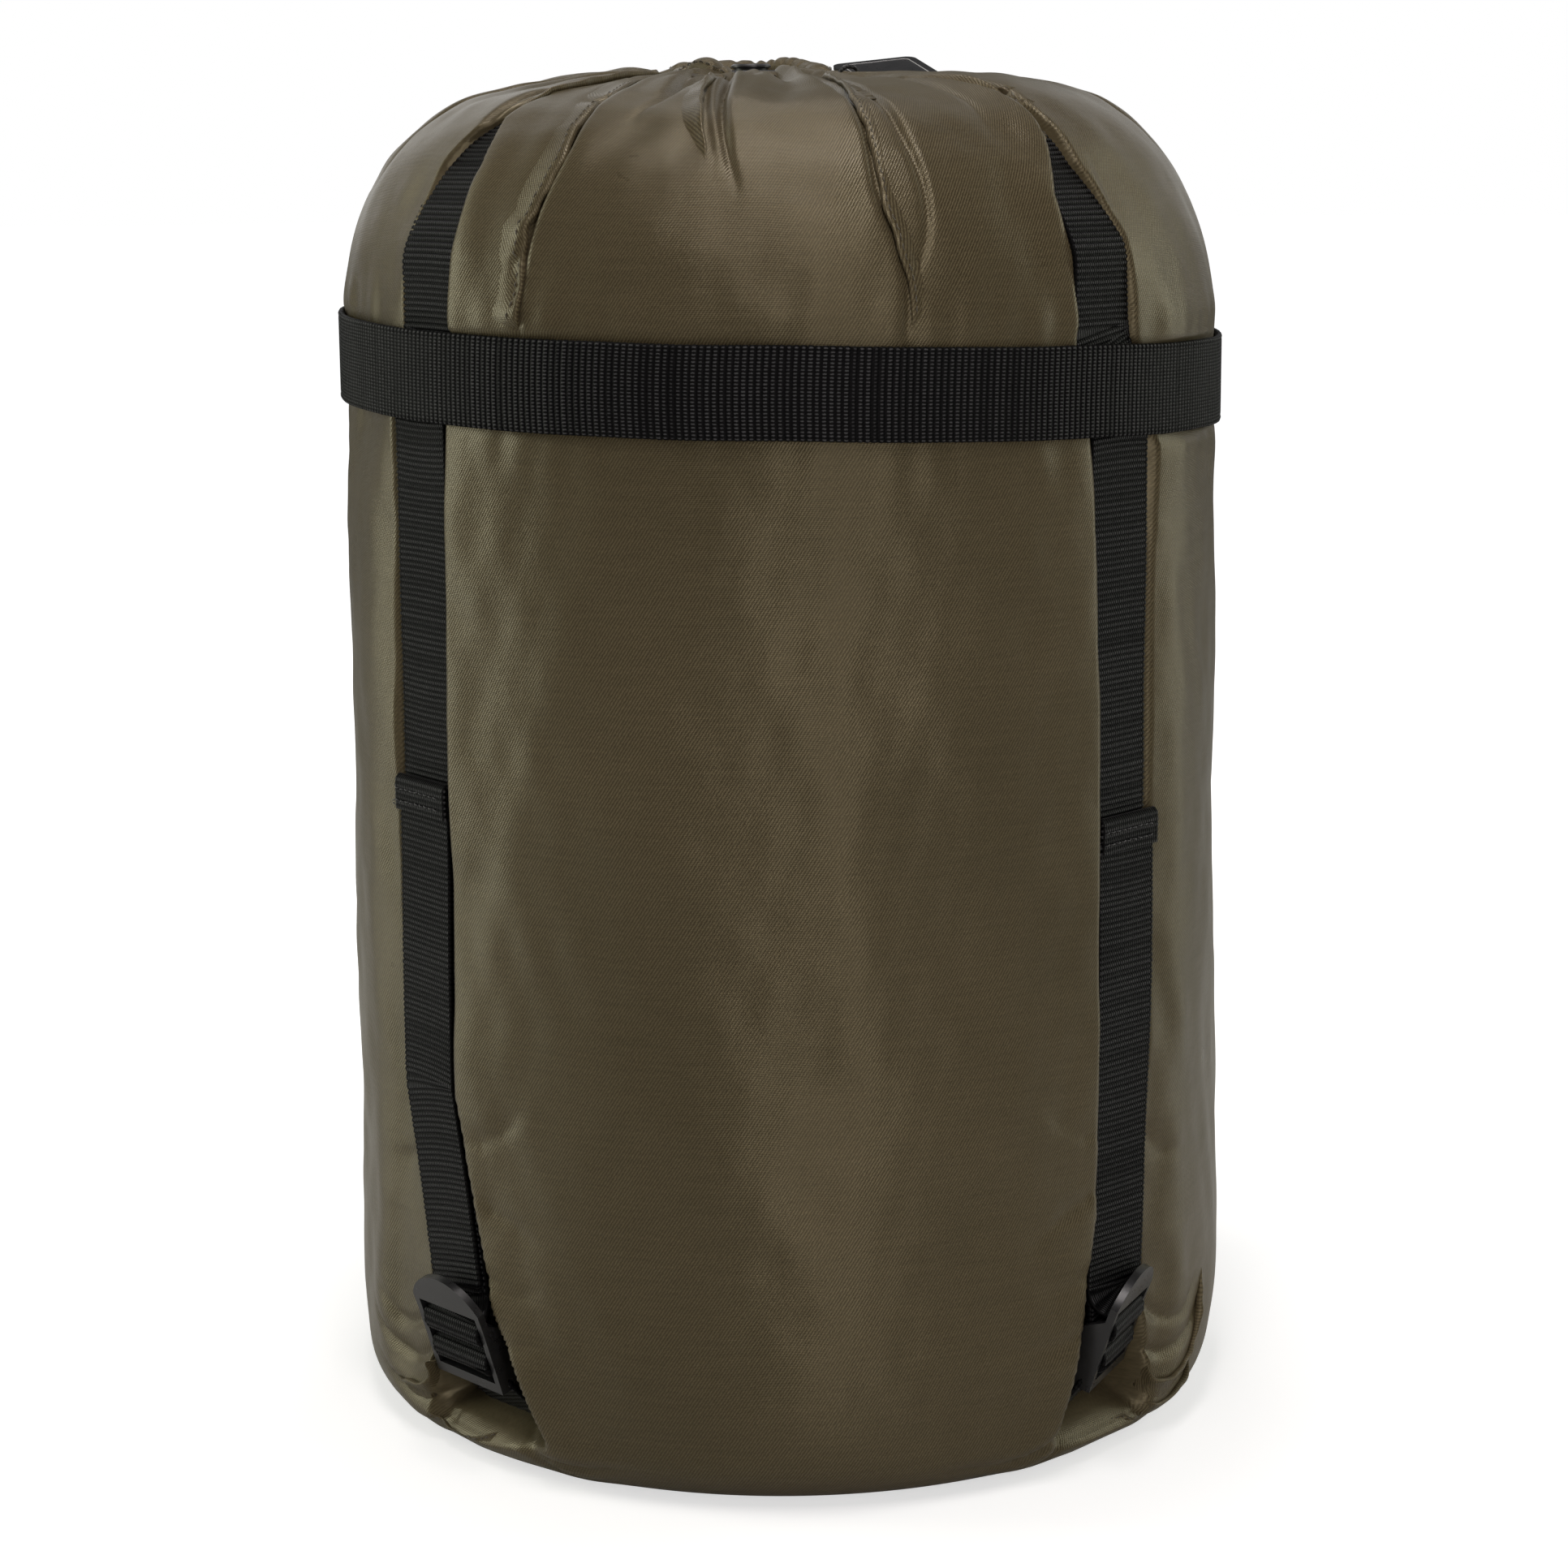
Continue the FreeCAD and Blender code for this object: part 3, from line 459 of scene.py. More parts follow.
def camera():
    """The photograph's own viewpoint; its focal length is in pixels of a 1932 pixel frame."""
    azimuth, pitch, roll = math.radians(2.5), math.radians(10.9), math.radians(0.45)
    distance, height = 1.040, 0.382
    sine, cosine = math.sin(azimuth), math.cos(azimuth)
    ahead = Vector((-sine * math.cos(pitch), cosine * math.cos(pitch), -math.sin(pitch)))
    right = Vector((cosine, sine, 0))
    up = right.cross(ahead)
    right, up = (right * math.cos(roll) - up * math.sin(roll), right * math.sin(roll) + up * math.cos(roll))
    data = bpy.data.cameras.new("photo_camera")
    data.sensor_width = 36
    data.lens = data.sensor_width * 4290 / 1932
    data.clip_start = 0.01
    obj = bpy.data.objects.new("photo_camera", data)
    matrix = Matrix((right, up, -ahead)).transposed().to_4x4()
    matrix.translation = Vector((distance * sine, -distance * cosine, height))
    obj.matrix_world = matrix
    bpy.context.scene.collection.objects.link(obj)
    bpy.context.scene.camera = obj


def area_light(name, azimuth, elevation, distance, size, power, colour=(1, 1, 1)):
    """A softbox on a sphere round the sack; azimuth 0 is straight in front."""
    a, e = math.radians(azimuth), math.radians(elevation)
    place = Vector((math.sin(a) * math.cos(e), -math.cos(a) * math.cos(e), math.sin(e))) * distance
    place.z += LIT_HEIGHT
    data = bpy.data.lights.new(name, "AREA")
    data.shape = "RECTANGLE"
    data.size, data.size_y = size
    data.energy = power
    data.color = colour
    obj = bpy.data.objects.new(name, data)
    obj.location = place
    obj.rotation_euler = (Vector((0, 0, LIT_HEIGHT)) - place).to_track_quat("-Z", "Y").to_euler()
    obj.visible_camera = False
    bpy.context.scene.collection.objects.link(obj)


def softboxes():
    """The photograph's lights: a narrow one in front, one to each side, one above and two behind."""
    area_light("front_strip", 16, 4, 0.9, (0.17, 0.8), 2.5, (1.0, 0.93, 0.90))
    area_light("left_box", -94, 12, 1.4, (0.5, 1.3), 11, (0.97, 1.0, 0.86))
    area_light("right_box", 106, 12, 1.4, (0.5, 1.3), 6.6, (0.97, 1.0, 0.86))
    area_light("top_box", -2, 78, 1.3, (0.20, 1.5), 12, (1.0, 0.94, 0.93))
    area_light("back_left", -155, 25, 1.7, (1.0, 1.2), 3)
    area_light("back_right", 155, 25, 1.7, (1.0, 1.2), 2)


def white_sky():
    """A sky that lights the sack softly and is itself plain white."""
    world = bpy.data.worlds.new("studio")
    world.use_nodes = True
    nodes, links = world.node_tree.nodes, world.node_tree.links
    background = nodes["Background"]
    background.inputs["Color"].default_value = (1, 1, 1, 1)
    seen = nodes.new("ShaderNodeLightPath")
    level = nodes.new("ShaderNodeMapRange")
    level.inputs["To Min"].default_value = 0.078
    level.inputs["To Max"].default_value = 1.0
    links.new(seen.outputs["Is Camera Ray"], level.inputs["Value"])
    links.new(level.outputs["Result"], background.inputs["Strength"])
    bpy.context.scene.world = world
    bpy.context.scene.view_settings.view_transform = "Standard"


def white_floor():
    """A floor lifted to the white of the sky, which it meets without an edge, but that lights nothing."""
    rings = [50, 300, 800, 2000, 5000, 12000]
    sides, below = 96, -0.05
    angle = np.arange(sides) * 2 * math.pi / sides
    verts = [[r * math.cos(a), r * math.sin(a), below] for r in rings for a in angle] + [[0, 0, below]]
    faces = grid_faces(len(rings), sides, True)
    n = Nodes("floor")
    dust = n.noise(n.place("Object", (1, 1, 1)), 3, 4.0)
    n.finish(n.ramp(dust, (0.3, 0.6), (0.7, 0.62)), 0.9, None, Specular_IOR_Level=0.1)
    away = n.add("ShaderNodeVectorMath", operation="LENGTH")
    n.link(n.place("Object", (1, 1, 1)), away.inputs[0])
    seen = n.add("ShaderNodeLightPath")
    lift = n.ramp(n.math("DIVIDE", away.outputs["Value"], 1.6), (0.1, 0.62), (0.4, 1.0))
    n.link(n.math("MULTIPLY", seen.outputs["Is Camera Ray"], lift), n.shader.inputs["Emission Strength"])
    n.shader.inputs["Emission Color"].default_value = (1, 1, 1, 1)
    mesh_piece("floor", verts, faces, material=n.material)


camera()
softboxes()
white_sky()
white_floor()


# ---------------------------------------------------------------- the sack

# the meridian, from the middle of the base out, up the wall, over the shoulder and into the mouth
MERIDIAN = [
    (0, 0.4), (40, 0.4), (80, 0.4), (104, 0.5), (115, 0.9), (121.5, 2.3), (126.3, 5.6), (129.4, 11),
    (130.9, 20), (131.7, 34), (131.3, 60), (131.0, 76), (130.6, 120), (130.2, 176), (129.6, 235),
    (128.9, 280), (128.2, 292), (127.9, 299), (127.8, 310), (127.8, 321), (128.2, 327), (127.7, 333),
    (125.6, 345), (121.7, 356.5), (115.4, 368), (110.3, 374), (103.2, 380), (94.5, 384.9),
    (85.5, 387.6), (75, 389.4), (64, 390.6), (50, 391.6), (40, 391.9), (31, 392.0), (26.5, 392.6),
    (22, 393.4), (19, 393.0), (16.8, 391), (15.6, 385), (14.8, 379.5), (12.4, 377.6), (6, 377.4), (0, 377.4),
]
COLUMNS = 900
BASE_RUN = 130.0        # length along the meridian from the middle of the base to its seam

# where the cloth beside each strap ends, as (height, left edge, right edge) across the strap
LIPS = {
    "front_left": [(0, -13, 29), (14, -15, 28.5), (26, -15.8, 24.5), (35, -15.8, 21), (43, -15, 17.4),
        (52, -14, 14.8), (75, -13.2, 13.8), (110, -13.4, 13.3), (300, -12.9, 12.9), (326, -9.6, 10.2),
        (356, -9.0, 9.8), (368, -8.4, 9.0), (375, -6, 5.5), (381, -1.5, 0.5), (390, -0.6, -0.4)],
    "front_right": [(0, -21, 13), (12, -21, 13.5), (26, -19, 15), (50, -14.5, 14), (75, -9.0, 13.4),
        (95, -9.6, 13.3), (120, -10.2, 13.6), (220, -10.5, 13.4), (300, -12.9, 12.9), (326, -9.8, 9.4),
        (348, -11, 8.0), (360, -10.4, 3.6), (368, -6.5, 0.8), (374, -3.2, 1.0), (380, -1.0, 0.2),
        (390, -0.6, -0.4)],
    "back_right": [(0, -22, 18), (12, -25, 21), (26, -20, 15), (50, -17, 14), (75, -14, 13.6),
        (110, -13.5, 13.5), (345, -13.2, 13.2), (356, -12, 12), (366, -7, 10), (374, -1, 7), (380, 3, 5),
        (390, 4, 4.2)],
    "back_left": [(0, -16, 24), (12, -20, 26), (26, -15, 20), (50, -14, 17), (75, -13.6, 14),
        (110, -13.5, 13.5), (345, -13.2, 13.2), (356, -12.5, 11), (366, -11, 6), (374, -8, 1),
        (380, -5, -3), (390, -4, -3.8)],
}


def turned(theta, side):
    """Angles about the axis, measured from a strap."""
    return (theta - math.radians(SIDES[side]["theta"]) + math.pi) % (2 * math.pi) - math.pi


def lips(side, z):
    """Where the cloth ends to the left and to the right of a strap, by height."""
    keys = np.array(LIPS[side], float)
    return np.interp(z, keys[:, 0], keys[:, 1]), np.interp(z, keys[:, 0], keys[:, 2])


def band_height(theta):
    """The girth band sits a little lower on the right."""
    return BAND_Z - BAND_TILT * np.sin(theta) + 0.5 * np.sin(3 * theta + 0.6)


def strap_shift(side, z):
    """How far the strap lies to one side: on its way down to the buckle, and above the band."""
    low = SIDES[side]["shift"] * np.clip((SLANT_TOP - z) / (SLANT_TOP - SLANT_LOW), 0, 1.1)
    return low + SIDES[side]["top_shift"] * smooth(302, 324, z)


def floor_out(z):
    """Distance from the axis of the cloth under a strap, by height."""
    heights = [0, 3, 6, 9, 12, 15, 18, 22, 27, TUCK_TOP, 345, 351, 356.5, 362, 368, 374, 380, 385, 390]
    outs = [121, 124.5, 125.6, 124.4, 120.8, 115.2, 111.0, 109.2, 109.6, VALLEY - 0.5,
            VALLEY - 0.6, 121.4, 118.4, 114.6, 110.0, 104.6, 97.6, 90.0, 78.0]
    return np.interp(z, heights, outs)


def local(side, across, out, z):
    """A strap's own coordinates to the object frame, in millimetres."""
    a = math.radians(SIDES[side]["theta"])
    across, out, z = np.broadcast_arrays(*(np.asarray(v, float) for v in (across, out, z)))
    x = across * math.cos(a) + out * math.sin(a)
    y = across * math.sin(a) - out * math.cos(a)
    return np.stack([x, y, z], -1)


def on_wall(side, across, z):
    """A point of the undented sack, given across a strap and by height."""
    radius = np.interp(z, [p[1] for p in MERIDIAN[:33]], [p[0] for p in MERIDIAN[:33]])
    return local(side, across, math.sqrt(max(radius**2 - across**2, 1)), z)


def crease(points, normals, height, line, width, depth, lip, side=1, reach=9.0):
    """Press a fold into the cloth along a line: a narrow valley, and a lip that stands over one side."""
    line = resample(catmull(line, 2.0), 2.0)[0]
    low, high = line.min(0) - 30, line.max(0) + 30
    inside = np.flatnonzero(((points > low) & (points < high)).all(1))
    p, nrm = points[inside], normals[inside]
    best, best_t, best_d = np.full(len(p), 1e9), np.zeros(len(p)), np.zeros(len(p))
    for i in range(len(line) - 1):
        a, b = line[i], line[i + 1]
        ab = b - a
        t = np.clip(((p - a) @ ab) / (ab @ ab), 0, 1)
        gap = p - (a + t[:, None] * ab)
        gap -= nrm * (gap * nrm).sum(1)[:, None]
        d = np.linalg.norm(gap, axis=1)
        lateral = (np.cross(unit(ab)[None], nrm) * gap).sum(1)
        better = d < best
        best = np.where(better, d, best)
        best_t = np.where(better, (i + t) / (len(line) - 1), best_t)
        best_d = np.where(better, np.where(lateral > 0, d, -d), best_d)
    deep, raised, broad = (np.interp(best_t, np.linspace(0, 1, len(v)), v) for v in (depth, lip, width))
    d = best_d * side
    ridge = np.where(d > 0, np.exp(-d / reach) * smooth(0, 1, d / broad), 0)
    shape = -deep * bell(d, broad) * np.where(d > 0, 0.75, 1.0) + raised * ridge
    height[inside] += shape * (best < 30)


def mouth_gathers(points, height):
    """Short radial gathers round the drawn mouth, a few of them long."""
    rng = np.random.default_rng(41)
    rel = points[:, :2] - MOUTH
    rho = np.hypot(rel[:, 0], rel[:, 1])
    alpha = np.arctan2(rel[:, 0], -rel[:, 1])
    top = points[:, 2] > 360
    count = 34
    angles = (np.arange(count) + rng.uniform(-0.32, 0.32, count)) * 2 * math.pi / count
    for a in angles:
        reach = rng.uniform(12, 26) if rng.random() < 0.72 else rng.uniform(34, 62)
        deep = rng.uniform(1.0, 2.3)
        bend = rng.uniform(-0.25, 0.25)
        slack = rng.uniform(0.055, 0.085)
        turn = (alpha - a - bend * np.clip((rho - 20) / 70, 0, 1) + math.pi) % (2 * math.pi) - math.pi
        fade = np.exp(-(np.maximum(rho - 24, 0) / reach) ** 1.5) * smooth(14, 22, rho)
        width = 1.3 + rho * slack * 0.42
        d = turn * rho
        fold = 0.5 * bell(np.abs(d) - 2.1 * width, width) - bell(d, width)
        height += np.where(top, deep * fade * fold, 0)


def sack_rows():
    """The meridian cut into rows, closer where the folds are: points, slopes and lengths along it."""
    dense = catmull(MERIDIAN, 0.5)
    seg = np.linalg.norm(np.diff(dense, axis=0), axis=1)
    s = np.concatenate([[0], np.cumsum(seg)])
    step = np.where(s < 100, 6.0, np.where((s > 250) & (s < 420), 2.0, np.where(s > 450, 0.95, 1.3)))
    rows_at = [0.0]
    while rows_at[-1] < s[-1] - 1.0:
        rows_at.append(rows_at[-1] + float(np.interp(rows_at[-1], s, step)))
    rows_at = np.array(rows_at[1:-1])
    profile = np.stack([np.interp(rows_at, s, dense[:, i]) for i in (0, 1)], 1)
    return profile, unit(np.gradient(profile, axis=0)), rows_at


def sack_surface():
    """The stuffed sack as a grid of points, drawn in by its straps, band, base seam and mouth."""
    profile, tangent, rows_at = sack_rows()
    rows, count = len(profile), COLUMNS
    theta = (np.arange(count) + 0.5) * 2 * math.pi / count - math.pi
    T = np.tile(theta, rows)
    R = np.repeat(profile[:, 0], count)
    Z = np.repeat(profile[:, 1], count)
    S = np.repeat(rows_at, count)
    nr = np.repeat(tangent[:, 1], count)
    nz = -np.repeat(tangent[:, 0], count)

    # the straps' valleys and the tucks behind the buckles
    base = S < BASE_RUN
    outer = (S > 60) & (Z < 391.5) & (R > 45)
    scale = np.ones(len(R))
    bulge = np.zeros(len(R))
    for side, facts in SIDES.items():
        phi = turned(T, side)
        z = np.where(base, np.maximum(Z, 5.0), Z)
        radius = np.where(base, 126.0, R)
        across = radius * np.sin(phi) - strap_shift(side, z) * (z > 30) - strap_shift(side, 30.0) * (z <= 30)
        left, right = lips(side, z)
        soft = np.interp(z, [0, 12, 26, 45, 110, 345, 390], [8, 6, 4, 3, 2.7, 2.7, 2.5])
        inside = smooth(0, 1, (across - left + soft) / soft) * smooth(0, 1, (right + soft - across) / soft)
        inside *= (np.cos(phi) > 0.5)
        target = floor_out(z) / np.maximum(np.cos(phi), 0.5)
        upper = z > 340
        wanted = np.where(upper, np.minimum(target / radius, 1.0), target / radius)
        scale *= np.where(outer | base, 1 + inside * (np.minimum(wanted, 1.0) - 1), 1)
        # towards the flank the cloth runs on level with the strap until it meets the round of the load
        level = np.interp(z, [0, 8, 20, 345], [124.0, 127.0, VALLEY + 1.0, VALLEY + 1.0])
        level = np.where(upper, floor_out(z) + 1.6, level)
        chord = level / np.maximum(np.cos(phi), 0.5) / radius
        away = facts["flank"] * across
        beyond = smooth(0, 1, (away - 6) / 4) * (1 - smooth(0, 1, (away - 38) / 22))
        beyond = beyond * (np.cos(phi) > 0.5) * (1 - inside)
        eased = 1 - smooth(-0.004, 0.03, 1 - chord) * (1 - chord)
        flatten = beyond * (np.minimum(eased, 1.0) - 1) * np.interp(z, [0, 10, 352, 372], [0.6, 1, 1, 0])
        scale *= np.where(outer, 1 + flatten, 1)
        inner = across - right - soft * 1.3 if facts["flank"] < 0 else across - left + soft * 1.3
        beside = bell(inner, 8.5)
        grow = np.interp(z, [0, 20, 75, 300, 345, 365, 385], [0.4, 1.0, 0.7, 0.5, 1.2, 1.6, 0.4])
        bulge += np.where(outer, beside * grow * (np.cos(phi) > 0.5), 0)
    R2 = R * scale
    points = np.stack([R2 * np.sin(T), -R2 * np.cos(T), Z], 1)
    normals = np.stack([nr * np.sin(T), -nr * np.cos(T), nz], 1)
    # the mouth is drawn closed a little left of the axis
    toward = 1 - smooth(20, 95, R)
    points[:, :2] += np.outer(toward * (Z > 360), MOUTH)
    height = relief(bulge, points, T, R, Z, outer)
    return points, normals, height, dict(T=T, R=R, Z=Z, S=S, rows=rows, count=count)


def relief(height, points, T, R, Z, outer):
    """The cloth's height with what the band and the load add to it."""
    # the waist under the girth band, which leans with the band
    gap = Z - band_height(T)
    height = height - np.where(outer, 0.5 * bell(gap, 12), 0)
    along = strung(T * GIRTH)
    pucker = wobble(along, 11, 5, count=10)
    broad = wobble(along, 34, 6, count=8)
    ring = bell(gap - 17, 8) + 0.7 * bell(gap + 17, 8)
    height += np.where(outer, ring * (0.55 + 0.22 * pucker + 0.3 * broad), 0)
    ripple = np.sin(Z * 2 * math.pi / 9.5 + 1.3 * wobble(points, 45, 8))
    height += np.where(outer, 0.10 * ripple * bell(gap + 34, 22) * smooth(-1, 1, wobble(points, 60, 9)), 0)
    # the load's own soft lumps, and small creases of the cloth
    wall = smooth(5, 30, Z) * (R > 30)
    height += wall * 0.85 * wobble(points, 120, 11, (1, 1, 2.2))
    height += wall * 0.42 * wobble(points, 42, 12, (1, 1, 2.0))
    height += wall * 0.11 * wobble(points, 14, 13, (1, 1, 1.4))
    # a long soft ridge down the front, where the load folds
    ridge = bell(T - 0.185 - 0.02 * np.sin(Z / 55), 0.085) * smooth(45, 110, Z) * (1 - smooth(262, 292, Z))
    height += np.where(outer, 1.0 * ridge, 0)
    # the top sinks a little between the mouth and the right shoulder
    height -= 1.7 * bell(T - 0.5, 0.42) * smooth(26, 48, R) * (1 - smooth(80, 104, R)) * (Z > 360)
    return height


def dome_folds(points, normals, height):
    """The long folds of the gathered top, each where the cloth was caught by the drawcord."""
    folds = [
        # (line from the mouth outwards, widths, depths, lips, side the lip is on, how far the lip reaches)
        ([(-26, -26, 395), (-42, -72, 388), (-52, -98, 372), (-58, -104, 362), (-61.5, -107, 352),
          (-64, -110, 334), (-64, -111, 326)],
         (2.2, 1.6, 1.2), (1.5, 2.6, 2.4, 1.6, 0.7), (1.5, 2.4, 2.2, 1.2, 0.3), -1, 7),
        ([(-22, -30, 395), (-27, -78, 388), (-35, -94, 380)], (2.0, 1.5), (1.0, 1.6, 0.2),
         (0.9, 1.2, 0), 1, 6),
        ([(-18, -34, 395), (-24, -66, 391), (-30, -80, 387)], (1.8, 1.2), (0.8, 1.0, 0.1),
         (0.5, 0.6, 0), 1, 6),
        ([(-12, -30, 395), (-11, -60, 393), (-11, -92, 384), (-9, -108, 374), (-5.5, -117, 361)],
         (2.0, 1.5, 1.2), (1.6, 2.2, 2.5, 1.6, 0.1), (1.0, 1.8, 1.8, 0.9, 0), -1, 6),
        ([(-15, -34, 395), (-16, -72, 390), (-14.5, -98, 380), (-12, -110, 370)], (1.4, 1.2), (0.7, 0.9, 0.1),
         (0.2, 0.2), -1, 5),
        ([(8, -28, 395), (19, -73, 390), (27, -101, 378), (31, -115, 361), (36, -119, 348), (38.5, -121, 336),
          (38, -122, 326)], (1.8, 1.5, 1.3), (1.0, 1.7, 1.8, 1.6, 0.8), (0.8, 1.2, 1.2, 0.9, 0.3), 1, 6),
        ([(14, -28, 395), (27, -75, 389), (36, -99, 377), (43, -111, 361), (43.5, -115.5, 350),
          (40, -120, 338)], (1.7, 1.3), (0.4, 0.8, 1.4, 1.2, 0.4), (0.2, 0.6, 0.5, 0), -1, 5),
        ([(20, -22, 395), (46, -40, 392), (62, -58, 388), (71, -70, 380), (77, -76, 374)],
         (2.2, 1.8, 1.6), (1.6, 2.4, 2.8, 1.6), (1.2, 2.2, 2.4, 1.0), 1, 9),
        ([(16, -26, 395), (38, -52, 391), (54, -76, 383), (60, -88, 374)], (1.8, 1.6), (0.8, 0.9, 0.1),
         (0.5, 0.6, 0), 1, 8),
        ([(-30, -16, 395), (-58, -42, 390), (-70, -58, 383), (-76, -66, 377)], (2.0, 1.6), (1.2, 1.8, 1.0),
         (0.8, 1.6, 0.8), 1, 8),
        ([(-30, -4, 395), (-74, -14, 390), (-104, -22, 377), (-116, -26, 362)], (2.4, 1.6),
         (1.4, 2.0, 1.2, 0.1), (1.0, 1.4, 0.6, 0), 1, 8),
        ([(16, -2, 395), (62, -10, 391), (96, -16, 381), (114, -20, 365)], (2.4, 1.6), (1.3, 1.9, 1.2, 0.1),
         (0.8, 1.3, 0.6, 0), -1, 8),
        ([(-28, 12, 395), (-62, 44, 390), (-76, 62, 381), (-80, 72, 373)], (2.2, 1.8), (1.4, 2.2, 1.6),
         (1.0, 1.8, 0.8), -1, 8),
        ([(12, 14, 395), (48, 50, 391), (66, 66, 384), (74, 74, 375)], (2.2, 1.8), (1.4, 2.2, 1.6),
         (1.0, 1.8, 0.8), 1, 8),
        ([(-18, 20, 395), (-30, 66, 391), (-38, 98, 379), (-42, 114, 362), (-43, 120, 342)],
         (2.2, 1.4), (1.4, 2.3, 1.8, 0.9, 0.1), (1.0, 2.0, 1.6, 0.6, 0), 1, 7),
        ([(-6, 22, 395), (2, 70, 391), (10, 102, 379), (14, 116, 364)], (2.0, 1.4), (1.3, 2.0, 1.4, 0.1),
         (0.8, 1.5, 0.8, 0), -1, 7),
        ([(6, 20, 395), (24, 62, 391), (42, 92, 380), (52, 104, 368), (58, 110, 350)], (2.0, 1.4),
         (1.2, 1.8, 1.6, 1.0, 0.1), (0.9, 1.3, 0.9, 0.4, 0), 1, 7),
        ([(-32, 4, 395), (-70, 20, 390), (-96, 32, 380)], (2.0, 1.4), (1.2, 1.3, 0.1), (0.6, 0.8, 0), 1, 7),
        ([(18, 6, 395), (60, 26, 391), (90, 40, 381)], (2.0, 1.4), (1.2, 1.3, 0.1), (0.6, 0.8, 0), 1, 7),
    ]
    for line, width, depth, lip, side, reach in folds:
        crease(points, normals, height, line, width, depth, lip, side, reach)


MIRRORED = ("front_right", "back_left")     # sides whose base folds are the others' mirror image


def base_folds(points, normals, height):
    """Folds where each anchor strap draws up the base seam."""
    shared = [
        # (across and height), widths, depths, lips, side
        ([(-10, 16), (-24, 13), (-40, 15), (-56, 20)], (1.6, 1.3), (1.4, 1.8, 1.2, 0.1),
         (1.2, 1.4, 0.6, 0), 1),
        ([(-14, 30), (-26, 24), (-42, 27), (-54, 36)], (1.8, 1.4), (0.8, 1.5, 0.9, 0.1),
         (0.8, 1.2, 0.5, 0), -1),
        ([(-16, 46), (-27, 36), (-38, 34), (-52, 44)], (2.2, 1.8), (0.6, 1.1, 0.7, 0.1),
         (0.4, 0.9, 0.3, 0), -1),
        ([(-12, 7), (-26, 5), (-44, 6)], (1.4, 1.2), (1.2, 1.2, 0.2), (0.8, 0.8, 0), 1),
        ([(17, 22), (26, 13), (40, 9), (58, 11)], (1.8, 1.3), (0.9, 1.5, 1.0, 0.1), (0.6, 1.0, 0.4, 0), -1),
        ([(22, 10), (34, 4), (50, 4)], (1.6, 1.3), (1.0, 1.2, 0.2), (0.6, 0.8, 0), -1),
        ([(14, 80), (22, 77), (34, 70)], (3.6, 3.0), (0.7, 0.6, 0.0), (0.5, 0.4, 0), 1),
        ([(16, 60), (25, 57), (36, 60)], (3.6, 3.0), (0.8, 0.6, 0.0), (0.5, 0.4, 0), -1),
        ([(20, 42), (29, 40), (40, 45)], (3.6, 3.0), (0.8, 0.6, 0.0), (0.5, 0.4, 0), 1),
        ([(14, 100), (22, 104), (32, 114)], (3.6, 3.2), (0.5, 0.4, 0.0), (0.4, 0.3, 0), 1),
        ([(-15, 96), (-24, 88), (-38, 84)], (3.4, 3.0), (0.5, 0.5, 0.0), (0.4, 0.3, 0), 1),
    ]
    rng = np.random.default_rng(77)
    for side, facts in SIDES.items():
        mirror = -1 if side in MIRRORED else 1
        for line, width, depth, lip, flip in shared:
            jog = rng.uniform(-2.5, 2.5, 2)
            gain = rng.uniform(0.8, 1.25)
            path = [on_wall(side, (a + jog[0]) * mirror + facts["shift"], max(z + jog[1] * 0.6, 2))
                    for a, z in line]
            crease(points, normals, height, path, width, [d * gain for d in depth], [v * gain for v in lip],
                   flip * mirror, 7)


